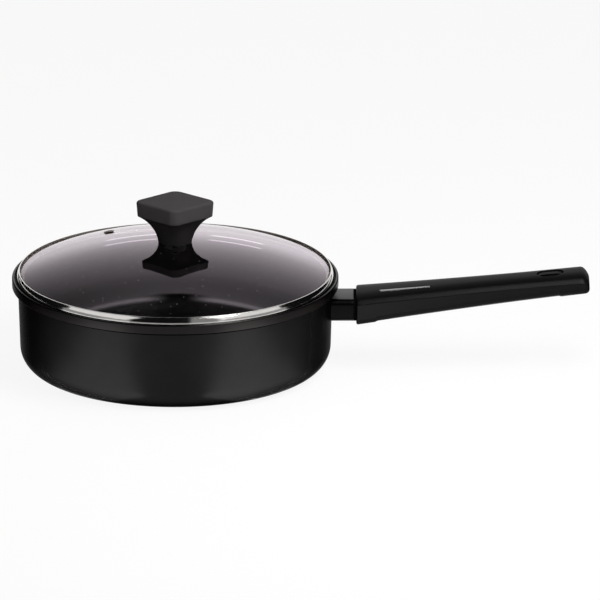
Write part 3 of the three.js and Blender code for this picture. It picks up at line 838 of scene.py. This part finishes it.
def grip_section(x):
    front_draw = end_inset(x - GRIP_FRONT, GRIP_FRONT_ROUND)
    far, near = (grip_width(x) / 2 - front_draw - draw for draw in tail_draws(x))
    top = grip_top(x) - front_draw - end_inset(GRIP_TAIL - x, GRIP_TAIL_TOP_ROUND)
    bottom = grip_bottom(x) + front_draw + end_inset(GRIP_TAIL - x, GRIP_TAIL_LOWER_ROUND)
    limit = GRIP_ROUND_SHARE * min(far, (top - bottom) / 2)
    top_round, bottom_round = min(GRIP_TOP_ROUND, limit), min(GRIP_BOTTOM_ROUND, limit)
    far_flat, near_flat = far - top_round, near - top_round
    points = []

    def corner(centre_y, centre_z, radius, start, flatness=0.0, steps=10):
        for turn in steps_to(math.pi / 2, steps):
            chord = 1 / (math.cos(turn) + math.sin(turn))
            reach = radius * (1 - flatness + flatness * chord)
            angle = start + turn
            points.append((x, centre_y + reach * math.cos(angle), centre_z + reach * math.sin(angle)))

    def straight(first, last, steps, rise=lambda y: 0.0):
        for step in range(1, steps):
            y = first[0] + (last[0] - first[0]) * step / steps
            z = first[1] + (last[1] - first[1]) * step / steps
            points.append((x, y, z + rise(y)))

    def crown(y):
        return crown_rise(y, far_flat if y > 0 else near_flat)

    low = bottom + bottom_round
    high = top - top_round
    corner(far - bottom_round, low, bottom_round, -math.pi / 2)
    straight((far, low), (far, high), 24)
    corner(far_flat, high, top_round, 0, GRIP_BEVEL_FLATNESS)
    straight((far_flat, top), (-near_flat, top), 16, crown)
    corner(-near_flat, high, top_round, math.pi / 2, GRIP_BEVEL_FLATNESS)
    straight((-near, high), (-near, low), 24)
    corner(bottom_round - near, low, bottom_round, math.pi)
    straight((bottom_round - near, bottom), (far - bottom_round, bottom), 8)
    return points


def grip_stations():
    places = set()
    for angle in steps_to(math.pi / 2, 10):
        places.add(GRIP_FRONT + GRIP_FRONT_ROUND * (1 - math.cos(angle)))
    for angle in steps_to(math.pi / 2, 22):
        places.add(GRIP_TAIL - GRIP_TAIL_REACH * (1 - math.cos(angle)))
    ramps = (GRIP_FRONT + RELIEF_FRONT_MARGIN, GRIP_TAIL - RELIEF_TAIL_MARGIN - RELIEF_RAMP)
    for start in ramps:
        places.update(start + step for step in steps_to(RELIEF_RAMP, 6))
    for start, stop, count in (
        (GRIP_FRONT + GRIP_FRONT_ROUND, ramps[0], 6),
        (ramps[0] + RELIEF_RAMP, ramps[1], 52),
        (ramps[1] + RELIEF_RAMP, GRIP_TAIL - GRIP_TAIL_REACH, 6),
    ):
        places.update(start + (stop - start) * step / count for step in range(1, count))
    return sorted(places)


def crown_reach(x):
    """Half width of the crowned top between its bevels."""
    return grip_width(x) / 2 - GRIP_TOP_ROUND


def grip_top_frame(x, y):
    """Frame flush with the sloping, crowned top of the grip."""
    reach = crown_reach(x)
    spot = Vector((x, y, grip_top(x) + crown_rise(y, reach))) * MM
    fall = GRIP_CROWN_POWER * GRIP_CROWN / reach * (abs(y) / reach) ** (GRIP_CROWN_POWER - 1)
    lean = math.copysign(math.atan(fall), y)
    turn = Matrix.Rotation(-GRIP_SLOPE, 4, "Y") @ Matrix.Rotation(-lean, 4, "X")
    return Matrix.Translation(spot) @ turn


def slot_rim_height(x, y):
    """Height of the crowned top over a spot in the hang slot."""
    return grip_top(x) + crown_rise(y, crown_reach(HANG_SLOT_PLACE))


def hang_slot_cutter():
    """Slot with softened edges that follow the grip's top and underside."""
    rings = []

    def ring(margin, height):
        outline = slot_outline(HANG_SLOT_LENGTH, HANG_SLOT_WIDTH, margin)
        rings.append([(HANG_SLOT_PLACE + u, v, height(HANG_SLOT_PLACE + u, v)) for u, v in outline])

    def below_top(depth):
        return lambda x, y: slot_rim_height(x, y) - depth

    def above_bottom(depth):
        return lambda x, y: grip_bottom(x) + depth

    edge = []
    for angle in steps_to(math.radians(80), 8):
        margin, depth = HANG_SLOT_ROUND * (1 - math.cos(angle)), HANG_SLOT_ROUND * (1 - math.sin(angle))
        edge.append((margin, depth - HANG_SLOT_LIFT))
    clear_margin = edge[-1][0] + BORE_CLEARANCE
    ring(clear_margin, below_top(-HANG_SLOT_CLEAR))
    for margin, depth in reversed(edge):
        ring(margin, below_top(depth))
    ring(0, below_top(HANG_SLOT_SHADE))
    for margin, depth in edge:
        ring(margin, above_bottom(depth))
    ring(clear_margin, above_bottom(-HANG_SLOT_CLEAR))
    return skinned("hang_slot_cutter", rings)


def inlay_body(name, margin, levels):
    rings = []
    for inset, height in levels:
        grow = margin - inset
        half = INLAY_LENGTH / 2 + grow
        front, tail = INLAY_FRONT_WIDTH / 2 + grow, INLAY_TAIL_WIDTH / 2 + grow
        outline = softened([
            (half, -tail, INLAY_CORNER_ROUND),
            (half, tail, INLAY_CORNER_ROUND),
            (-half, front, INLAY_CORNER_ROUND),
            (INLAY_SLANT - half, -front, INLAY_CORNER_ROUND),
        ], closed=True)
        rings.append([(u, v, height) for u, v in outline])
    return moved(skinned(name, rings), grip_top_frame(INLAY_CENTRE, -INLAY_OFFSET))


def handle_grip():
    grip = skinned("grip_moulding", [grip_section(x) for x in grip_stations()])
    floor = -INLAY_SINK - INLAY_THICKNESS - FIT_GAP
    pocket = inlay_body("inlay_pocket", FIT_GAP, [(0, floor), (0, INLAY_POCKET_RISE)])
    shank_bore = rod("shank_bore", SCREW_RADIUS + FIT_GAP, GRIP_FRONT - 1, SCREW_SEAT + FIT_GAP)
    driver_bore = rod("driver_bore", DRIVER_BORE_RADIUS, SCREW_SEAT, GRIP_TAIL, 64)
    bores = on_handle_axis(shank_bore), on_handle_axis(driver_bore)
    carved_smooth(grip, GRIP_SMOOTHING, hang_slot_cutter(), pocket, *bores)
    fitted(grip, "pan", "handle_grip", "handle_plastic", grip_plastic, painted_light_slot_plastic, painted_shade_plastic)
    # Hang slot faces: a band below the rounded rim gets painted light; the rounds and the deeper wall
    # get painted shade.
    for face in grip.data.polygons:
        x, y, z = face.center / MM
        past_straight = max(0, abs(x - HANG_SLOT_PLACE) - (HANG_SLOT_LENGTH - HANG_SLOT_WIDTH) / 2)
        off_slot = math.hypot(past_straight, y) - HANG_SLOT_WIDTH / 2
        if abs(face.normal.z) < 0.95 and off_slot < HANG_SLOT_ROUND:
            painted_light_band = HANG_SLOT_ROUND < slot_rim_height(x, y) - z < HANG_SLOT_SHADE
            face.material_index = 1 if painted_light_band else 2


def grip_tenon():
    """Tenon inside the guard, with a set-back neck painted near black as painted shade, so it shows as a
    dark groove before the grip.
    """
    tenon = rounded_rectangle(LUG_WIDTH, LUG_HEIGHT, LUG_ROUND)
    neck_width, neck_height = GUARD_WIDTH - 2 * NECK_INSET, GUARD_HEIGHT - 2 * NECK_INSET
    neck = rounded_rectangle(neck_width, neck_height, GUARD_ROUND - NECK_INSET)
    front = LUG_END + FIT_GAP
    step = GUARD_END + NECK_GAP
    rings = []
    for x, shrink in ((front, TENON_EDGE), (front + TENON_EDGE, 0), (step, 0)):
        rings.append(handle_ring(tenon, x, LUG_WIDTH, LUG_HEIGHT, shrink))
    for x in (step, GRIP_FRONT + NECK_SINK):
        rings.append(handle_ring(neck, x, neck_width, neck_height))
    body = skinned("grip_tenon", rings)
    bore = on_handle_axis(rod("tenon_bore", SCREW_RADIUS + FIT_GAP, LUG_END - 1, GRIP_FRONT + 1))
    fitted(smoothed(carved(body, bore)), "pan", "handle_grip", "handle_plastic", painted_shade_plastic)


def handle_inlay():
    top, bottom, edge = -INLAY_SINK, -INLAY_SINK - INLAY_THICKNESS, INLAY_EDGE
    levels = [
        (edge / 2, bottom),
        (0, bottom + edge / 2),
        (0, top - edge),
        (0.3 * edge, top - 0.3 * edge),
        (edge, top),
    ]
    inlay = smoothed(inlay_body("inlay_strip", 0, levels), INLAY_SMOOTHING)
    fitted(inlay, "pan", "handle_inlay", "inlay_metal", brushed_trim)


def handle_screw():
    head = SCREW_SEAT + SPRING_WASHER_THICKNESS + 2 * CONTACT_GAP
    end = head + SCREW_HEAD_LENGTH
    profile = softened([
        (0, SCREW_TIP),
        (SCREW_RADIUS / 2, SCREW_TIP, 0.2),
        (SCREW_RADIUS, SCREW_TIP + SCREW_RADIUS / 2, 0.2),
        (SCREW_RADIUS, head, 0.2),
        (SCREW_HEAD_RADIUS, head, 0.2),
        (SCREW_HEAD_RADIUS, end - SCREW_HEAD_CROWN, 0.8),
        (SCREW_HEAD_RADIUS / 2, end, 0.6),
        (0, end),
    ])
    screw = turned("grip_screw", profile, facets=64)
    screw = carved(screw, cross_recess(end - SCREW_RECESS_DEPTH, end + 0.2))
    fitted(on_handle_axis(smoothed(screw)), "pan", "handle_screw", "screw_steel", zinc_steel)


def handle_spring_washer():
    """Split ring of square wire, its two ends slightly apart."""
    low = SCREW_SEAT + CONTACT_GAP
    height = SPRING_WASHER_THICKNESS - SPRING_WASHER_PITCH
    inner, outer = SCREW_RADIUS + BORE_CLEARANCE, SPRING_WASHER_RADIUS
    wire = softened(
        [(inner, 0, 0.1), (outer, 0, 0.1), (outer, height, 0.1), (inner, height, 0.1)], closed=True
    )
    rings = []
    for t in steps_to(1, 72):
        angle = math.radians(5 + 350 * t)
        lift = low + SPRING_WASHER_PITCH * t
        rings.append([(r * math.cos(angle), r * math.sin(angle), lift + z) for r, z in wire])
    spring = on_handle_axis(smoothed(skinned("spring_washer", rings)))
    fitted(spring, "pan", "handle_spring_washer", "screw_steel", zinc_steel)


# Lid

def dome_height(sphere, radius):
    return DOME_CENTRE + math.sqrt(sphere ** 2 - radius ** 2)


def dome_arc(sphere, start, stop, steps=48):
    radii = [start + step for step in steps_to(stop - start, steps)]
    return [(radius, dome_height(sphere, radius)) for radius in radii]


def vent_frame():
    tilt = math.asin(VENT_OFFSET / DOME_RADIUS)
    spot = Vector((
        VENT_OFFSET * math.cos(VENT_BEARING),
        VENT_OFFSET * math.sin(VENT_BEARING),
        DOME_CENTRE + DOME_RADIUS * math.cos(tilt),
    )) * MM
    turn = Matrix.Rotation(VENT_BEARING, 4, "Z") @ Matrix.Rotation(tilt, 4, "Y")
    return Matrix.Translation(spot) @ turn


def lid_glass():
    inner_sphere = DOME_RADIUS - GLASS_THICKNESS
    inner_edge = GLASS_EDGE_RADIUS * inner_sphere / DOME_RADIUS
    profile = dome_arc(inner_sphere, KNOB_HOLE_RADIUS, inner_edge)
    profile += dome_arc(DOME_RADIUS, GLASS_EDGE_RADIUS, KNOB_HOLE_RADIUS)
    glass = turned("glass_dome", profile, closed=True)
    vent = rod("vent_hole", VENT_TUBE_RADIUS + FIT_GAP, -2 * GLASS_THICKNESS, GLASS_THICKNESS, 64)
    carved_smooth(glass, EDGE_ANGLE, moved(vent, vent_frame()))
    fitted(glass, "lid", "lid_glass", "lid_glass", tempered_glass)


def lid_rim_band():
    """Rolled channel round the edge of the glass, with a full round shoulder."""
    upper = DOME_RADIUS + BAND_CLEARANCE
    lower = DOME_RADIUS - GLASS_THICKNESS - BAND_CLEARANCE
    channel = GLASS_EDGE_RADIUS + BAND_CLEARANCE
    lip, flange = BAND_LIP_RADIUS, BAND_FLANGE_RADIUS
    top = LID_HEIGHT + BAND_HEIGHT
    bulge = []
    for lean in steps_to(BAND_LEAN, 12):
        draw = BAND_BULGE_RADIUS * (1 - math.cos(lean))
        rise = BAND_BULGE_RADIUS * math.sin(lean)
        bulge.append((BAND_RADIUS - draw, top - BAND_BULGE_DROP + rise))
    corners = [
        (BAND_RADIUS, LID_HEIGHT, 0.3),
        *bulge,
        (BAND_TOP_RADIUS, top, 0.2),
        (lip, top, 0.15),
        (lip, dome_height(upper, lip), 0.1),
        (channel, dome_height(upper, channel), 0.1),
        (channel, dome_height(lower, channel), 0.1),
        (flange, dome_height(lower, flange), 0.35),
        (flange, dome_height(lower - BAND_THICKNESS, flange), 0.35),
    ]
    band = turned_ring("rim_band", corners, 288)
    fitted(band, "lid", "lid_rim_band", "band_steel", polished_steel, painted_shade_lip_steel)
    # Faces on the inner lip and under the glass get the dark lip steel: painted shade.
    for face in band.data.polygons:
        reach = math.hypot(face.center.x, face.center.y)
        inward = -(face.center.x * face.normal.x + face.center.y * face.normal.y) / reach
        past_lip = lip - reach / MM
        if past_lip > 0.3 or past_lip > -0.3 and inward > 0.5:
            face.material_index = 1


def vent_eyelet():
    outer = FIT_GAP + VENT_FLANGE_THICKNESS
    inner = -GLASS_THICKNESS - outer
    corners = [
        (VENT_BORE_RADIUS, inner, 0.3),
        (VENT_FLANGE_RADIUS, inner, 0.3),
        (VENT_FLANGE_RADIUS, inner + VENT_FLANGE_THICKNESS, 0.2),
        (VENT_TUBE_RADIUS, inner + VENT_FLANGE_THICKNESS, 0.1),
        (VENT_TUBE_RADIUS, FIT_GAP, 0.1),
        (VENT_FLANGE_RADIUS, FIT_GAP, 0.2),
        (VENT_FLANGE_RADIUS, outer, 0.45),
        (VENT_BORE_RADIUS, outer, 0.5),
    ]
    eyelet = moved(turned_ring("steam_eyelet", corners, 72), vent_frame())
    fitted(eyelet, "lid", "vent_eyelet", "band_steel", eyelet_steel)


def sharp_half(half, other, radius):
    half_angle = math.atan2(other, half)
    return half + radius * (1 / math.sin(half_angle) - 1)


def diamond_outline():
    length = sharp_half(KNOB_HALF_LENGTH, KNOB_HALF_DEPTH, KNOB_CORNER_ROUND)
    depth = sharp_half(KNOB_HALF_DEPTH, KNOB_HALF_LENGTH, KNOB_FRONT_ROUND)
    points = softened([
        (length, 0, KNOB_CORNER_ROUND),
        (0, depth, KNOB_FRONT_ROUND),
        (-length, 0, KNOB_CORNER_ROUND),
        (0, -depth, KNOB_FRONT_ROUND),
    ], closed=True)
    divided = []
    for point, after in zip(points, points[1:] + points[:1]):
        divided.append(point)
        steps = round((after - point).length / KNOB_POINT_SPACING)
        divided += [point.lerp(after, step / steps) for step in range(1, steps)]
    return divided


def flare_reach(height, slab_reach):
    """Half length of the knob's concave flare between its foot and its slab."""
    foot = Vector((KNOB_FOOT_RADIUS, KNOB_FOOT))
    slab = Vector((slab_reach, KNOB_SLAB_BOTTOM))
    chord = slab - foot
    side = Vector((chord.y, -chord.x)).normalized()
    offset = math.sqrt(KNOB_FLARE_RADIUS ** 2 - chord.length_squared / 4)
    centre = foot + chord / 2 + side * offset
    return centre.x - math.sqrt(KNOB_FLARE_RADIUS ** 2 - (height - centre.y) ** 2)


def knob():
    outline = diamond_outline()
    slab_reach = KNOB_HALF_LENGTH - KNOB_SLAB_DRAFT
    rings = []

    def level(height, inset):
        scale = 1 - inset / KNOB_HALF_LENGTH
        rings.append([(p.x * scale, p.y * scale, height) for p in outline])

    flare_steps = 32
    for step in range(flare_steps):
        t = step / flare_steps
        height = KNOB_FOOT + (KNOB_SLAB_BOTTOM - KNOB_FOOT) * t
        reach = flare_reach(height, slab_reach)
        ring = []
        for point in outline:
            radius = reach + (reach * point.length / KNOB_HALF_LENGTH - reach) * ease(t)
            ring.append((*(point.normalized() * radius), height))
        rings.append(ring)
    level(KNOB_SLAB_BOTTOM - KNOB_SLAB_EDGE / 2, KNOB_SLAB_DRAFT + KNOB_SLAB_EDGE)
    level(KNOB_SLAB_BOTTOM + KNOB_SLAB_EDGE * 1.5, KNOB_SLAB_DRAFT)
    shoulder = KNOB_TOP - KNOB_TOP_CROWN
    for step in range(1, 5):
        t = step / 5
        level(
            KNOB_SLAB_BOTTOM + (shoulder - KNOB_TOP_ROUND - KNOB_SLAB_BOTTOM) * t,
            KNOB_SLAB_DRAFT * (1 - t),
        )
    for angle in steps_to(math.pi / 2, 8):
        level(shoulder - KNOB_TOP_ROUND * (1 - math.sin(angle)), KNOB_TOP_ROUND * (1 - math.cos(angle)))
    for step in range(1, 12):
        t = step / 12
        inset = KNOB_TOP_ROUND + (KNOB_HALF_LENGTH - KNOB_TOP_ROUND) * t
        level(shoulder + KNOB_TOP_CROWN * (1 - (1 - t) ** 2), inset)
    rings.append([(0, 0, KNOB_TOP)])
    body = skinned("knob_moulding", rings)
    seat = KNOB_FOOT + KNOB_RECESS_DEPTH
    recess = rod("gasket_recess", KNOB_RECESS_RADIUS, KNOB_FOOT - 1, seat, 96)
    socket_end = seat + INSERT_LENGTH + 2 * FIT_GAP
    socket = rod("insert_socket", INSERT_SOCKET_RADIUS, KNOB_FOOT - 1, socket_end, 64)
    carved_smooth(body, EDGE_ANGLE, recess, socket)
    fitted(body, "lid", "knob", "knob_plastic", knob_plastic, painted_shade_knob_plastic)
    # Faces below the slab get the darker plastic: painted shade under the slab on the flare and foot.
    for face in body.data.polygons:
        if face.center.z / MM < KNOB_SLAB_BOTTOM:
            face.material_index = 1


def knob_fixing():
    """Threaded insert, rings, washer and screw that hold the knob to the glass."""
    seat = KNOB_FOOT + KNOB_RECESS_DEPTH + FIT_GAP
    middle = seat + INSERT_LENGTH / 2
    full, neck, bore = INSERT_RADIUS, INSERT_NECK_RADIUS, INSERT_BORE_RADIUS
    insert = turned_ring("threaded_insert", [
        (bore, seat, 0.2),
        (full - 0.3, seat, 0.3),
        (full, seat + 1.0, 0.2),
        (full, middle - 1.4, 0.2),
        (neck, middle - 0.8, 0.2),
        (neck, middle + 0.8, 0.2),
        (full, middle + 1.4, 0.2),
        (full, seat + INSERT_LENGTH - 1.0, 0.3),
        (full - 0.4, seat + INSERT_LENGTH, 0.2),
        (bore, seat + INSERT_LENGTH, 0.2),
    ], 72)
    fitted(insert, "lid", "knob_insert", "insert_brass", insert_brass)

    low = GLASS_TOP + CONTACT_GAP
    high = low + UPPER_RING_THICKNESS
    upper_ring = washer("upper_ring", UPPER_RING_HOLE_RADIUS, UPPER_RING_RADIUS, low, high, 0.2)
    fitted(upper_ring, "lid", "knob_gasket", "silicone", silicone_rubber)

    high = dome_height(DOME_RADIUS - GLASS_THICKNESS, LOWER_RING_RADIUS) - FIT_GAP
    low = high - LOWER_RING_THICKNESS
    lower_ring = washer("lower_ring", WASHER_HOLE_RADIUS, LOWER_RING_RADIUS, low, high, 0.35)
    fitted(lower_ring, "lid", "glass_gasket", "silicone", silicone_rubber)

    # The steel washer and screw below the knob's foot get steel painted near black as painted shade.
    high = low - CONTACT_GAP
    low = high - STEEL_WASHER_THICKNESS
    steel_ring = washer("steel_washer", WASHER_HOLE_RADIUS, STEEL_WASHER_RADIUS, low, high, 0.2)
    fitted(steel_ring, "lid", "knob_washer", "screw_steel", painted_shade_steel)

    high = low - CONTACT_GAP
    low, tip = high - LID_SCREW_HEAD_LENGTH, KNOB_FOOT + LID_SCREW_REACH
    waist = low + LID_SCREW_HEAD_LENGTH / 2
    screw = turned("lid_screw", softened([
        (0, low),
        (LID_SCREW_HEAD_RADIUS / 2, low, 0.5),
        (LID_SCREW_HEAD_RADIUS, waist, 0.7),
        (LID_SCREW_HEAD_RADIUS, high, 0.2),
        (LID_SCREW_RADIUS, high, 0.1),
        (LID_SCREW_RADIUS, tip - 1.0, 0.2),
        (LID_SCREW_RADIUS / 2, tip, 0.2),
        (0, tip),
    ]), facets=72)
    flip = Matrix.Translation((0, 0, waist * MM)) @ Matrix.Rotation(math.pi, 4, "X")
    screw = smoothed(carved(screw, moved(cross_recess(0, LID_RECESS_DEPTH), flip)))
    fitted(screw, "lid", "knob_screw", "screw_steel", painted_shade_steel)


pan_bowl()
bowl_lug()
base_plate()
flame_guard()
handle_grip()
grip_tenon()
handle_inlay()
handle_screw()
handle_spring_washer()
lid_glass()
lid_rim_band()
vent_eyelet()
knob()
knob_fixing()


# Studio

FLOOR_HALF_SIZE = 7.0
PAPER_WHITE, SIDE_GREY = 0.9, 0.03
SIDE_MIDDLE, SIDE_START, SIDE_FULL = 0.04, 0.30, 0.40

# Heights on the back wall and how bright it is there
WALL_FADE = [
    (0.0, 0.84), (0.087, 0.94), (0.12, 1.0), (0.174, 1.0), (0.259, 0.89), (0.30, 0.80), (0.342, 0.745),
    (0.485, 0.583), (0.643, 0.395), (0.669, 0.335), (0.719, 0.29), (0.743, 0.295), (0.777, 0.34),
    (0.79, 0.385), (0.797, 0.6), (0.804, 1.0), (0.811, 1.0), (0.817, 0.45), (0.824, 0.07), (0.84, 0.03),
    (1.0, 0.02),
]
STREAK_LEVEL, STREAK_EDGE, STREAK_CORE = 0.8, 0.011, 0.004
FRONT_STRIP_LEVEL, DARK_LEVEL = 0.33, 0.004
PAN_MIDDLE = (0, 0, 0.05)
CAMERA_PLACE, CAMERA_TILT = (0.0955, -7.293, 2.403), math.radians(72.13)
CAMERA_LENS, CAMERA_SENSOR, CAMERA_SIGHT = 600, 36, 100
PANEL_WIDTH, PANEL_LENGTH, PANEL_REACH, PANEL_HEIGHT = 0.12, 0.42, 0.32, 0.003


def studio_floor():
    """Pale paper, with a darker sheet at each side of the pan that shows in its gloss."""
    mesh = bmesh.new()
    bmesh.ops.create_grid(mesh, x_segments=1, y_segments=1, size=FLOOR_HALF_SIZE)
    floor = new_piece("studio_floor", mesh)
    floor.data.materials.append(floor_paper)


@finish
def floor_paper(recipe):
    seen, mirrored, clear = recipe.rays("Is Camera Ray", "Is Glossy Ray", "Is Transmission Ray")
    across, back, _ = recipe.parts(recipe.place())
    behind = recipe.ease(back, -0.3, -0.1) * recipe.ease(back, 1.6, 0.9)
    paper = 1 - recipe.ease(recipe.size(across - SIDE_MIDDLE), SIDE_START, SIDE_FULL) * behind
    sheet = recipe.add("ShaderNodeBsdfPrincipled", None, {
        "Base Color": recipe.mix(paper, grey(SIDE_GREY), grey(PAPER_WHITE)),
        "Roughness": 1,
        "Specular IOR Level": 0,
    })
    white = recipe.add("ShaderNodeEmission", None, {"Color": grey(1), "Strength": 1})
    share = PAPER_WHITE * (seen + paper * mirrored + clear)
    shade = recipe.add("ShaderNodeMixShader", None, {0: share, 1: sheet, 2: white})
    recipe.add("ShaderNodeOutputMaterial", None, {"Surface": shade})


def studio_world():
    """Pale back wall that fades upwards to a bright edge, with a dark ceiling and front."""
    world = bpy.data.worlds.new("studio")
    bpy.context.scene.world = world
    world.use_nodes = True
    recipe = Recipe(world.node_tree)
    side, back, rise = recipe.parts(recipe.add("ShaderNodeTexCoord", output="Generated"))
    across = recipe.size(side)
    wall = recipe.add("ShaderNodeValToRGB", {"stops": WALL_FADE}, {0: rise + 0.5 * side * side})
    opening = recipe.ease(across - 0.75 * back, 0.08, -0.12)

    def streak(height, inner, outer):
        start = recipe.ease(across, inner - 0.006, inner + 0.004)
        stop = recipe.ease(across, outer + 0.006, outer - 0.004)
        return recipe.ease(recipe.size(rise - height), STREAK_EDGE, STREAK_CORE) * (start * stop)

    streaks = STREAK_LEVEL * (streak(0.159, 0.034, 0.099) + streak(0.2485, 0.039, 0.116))
    gap = recipe.ease(rise, 0.775, 0.79) * recipe.ease(across, 0.12, 0.02)
    low = recipe.ease(rise, -0.02, 0.01) * recipe.ease(rise, 0.16, 0.10)
    low_in_front = recipe.ease(back, -0.5, -0.7) * low
    lean = 1.24 + 0.69 * side - 3.9 * side * side
    level = DARK_LEVEL + FRONT_STRIP_LEVEL * low_in_front + opening * lean * ((1 - gap) * wall + streaks)
    seen, clear = recipe.rays("Is Camera Ray", "Is Transmission Ray")
    share = recipe.add("ShaderNodeMath", {"operation": "MAXIMUM"}, {0: seen, 1: clear})
    strength = share + (1 - share) * level
    shell = recipe.add("ShaderNodeBackground", None, {"Color": grey(1), "Strength": strength})
    recipe.add("ShaderNodeOutputWorld", None, {"Surface": shell})


def area_lamp(name, place, width, height, power):
    data = bpy.data.lights.new(name, "AREA")
    data.shape = "RECTANGLE"
    data.size, data.size_y = width, height
    data.energy = power
    lamp = bpy.data.objects.new(name, data)
    lamp.location = place
    lamp.visible_camera = False
    bpy.context.scene.collection.objects.link(lamp)
    return lamp


def soft_light(name, place, aim, width, height, power):
    lamp = area_lamp(name, place, width, height, power)
    lamp.rotation_mode = "QUATERNION"
    lamp.rotation_quaternion = (Vector(aim) - Vector(place)).to_track_quat("-Z", "Y")
    return lamp


def floor_panel(name, bearing, power):
    """Light panel lying in front of the pan, for the soft upright bands on its wall."""
    turn = math.radians(bearing)
    place = (PANEL_REACH * math.sin(turn), -PANEL_REACH * math.cos(turn), PANEL_HEIGHT)
    panel = area_lamp(name, place, PANEL_WIDTH, PANEL_LENGTH, power)
    panel.rotation_euler = (math.pi, 0, turn)


def upward_panel(name, x, y, width, height, power):
    """Light panel lying beside the pan and facing up."""
    soft_light(name, (x, y, PANEL_HEIGHT), (x, y, 1), width, height, power)


def studio_camera():
    data = bpy.data.cameras.new("photo_camera")
    data.lens, data.sensor_width = CAMERA_LENS, CAMERA_SENSOR
    data.clip_end = CAMERA_SIGHT
    camera = bpy.data.objects.new("photo_camera", data)
    camera.location = CAMERA_PLACE
    camera.rotation_euler = (CAMERA_TILT, 0, 0)
    bpy.context.scene.collection.objects.link(camera)
    bpy.context.scene.camera = camera


studio_floor()
studio_world()
soft_light("left_softbox", (-1.38, -0.88, 1.03), PAN_MIDDLE, 1.65, 0.95, 4.0)
soft_light("right_softbox", (1.38, -0.88, 1.03), PAN_MIDDLE, 1.65, 0.95, 4.0)
soft_light("left_low_softbox", (-1.38, -0.88, 0.29), PAN_MIDDLE, 1.65, 0.55, 0.8)
soft_light("right_low_softbox", (1.38, -0.88, 0.29), PAN_MIDDLE, 1.65, 0.55, 0.9)
floor_panel("left_floor_panel", -40, 0.325)
floor_panel("right_floor_panel", 40, 0.405)
soft_light("handle_softbox", (0.37, -0.33, 0.72), (0.34, 0, 0.05), 0.36, 0.6, 5.6)
soft_light("handle_front_softbox", (0.44, -0.95, 0.42), (0.40, 0, 0.05), 0.5, 0.7, 0.25)
upward_panel("handle_floor_panel", 0.23, -0.04, 0.2, 0.1, 0.03)
upward_panel("back_floor_panel", 0.24, 0.10, 0.14, 0.22, 0.25)
ceiling_fill = soft_light("ceiling_fill", (0, 0.2, 2.2), (0, 0, 0), 2.4, 2.4, 16)
ceiling_fill.visible_glossy = False
studio_camera()
bpy.context.scene.view_settings.view_transform = "Standard"
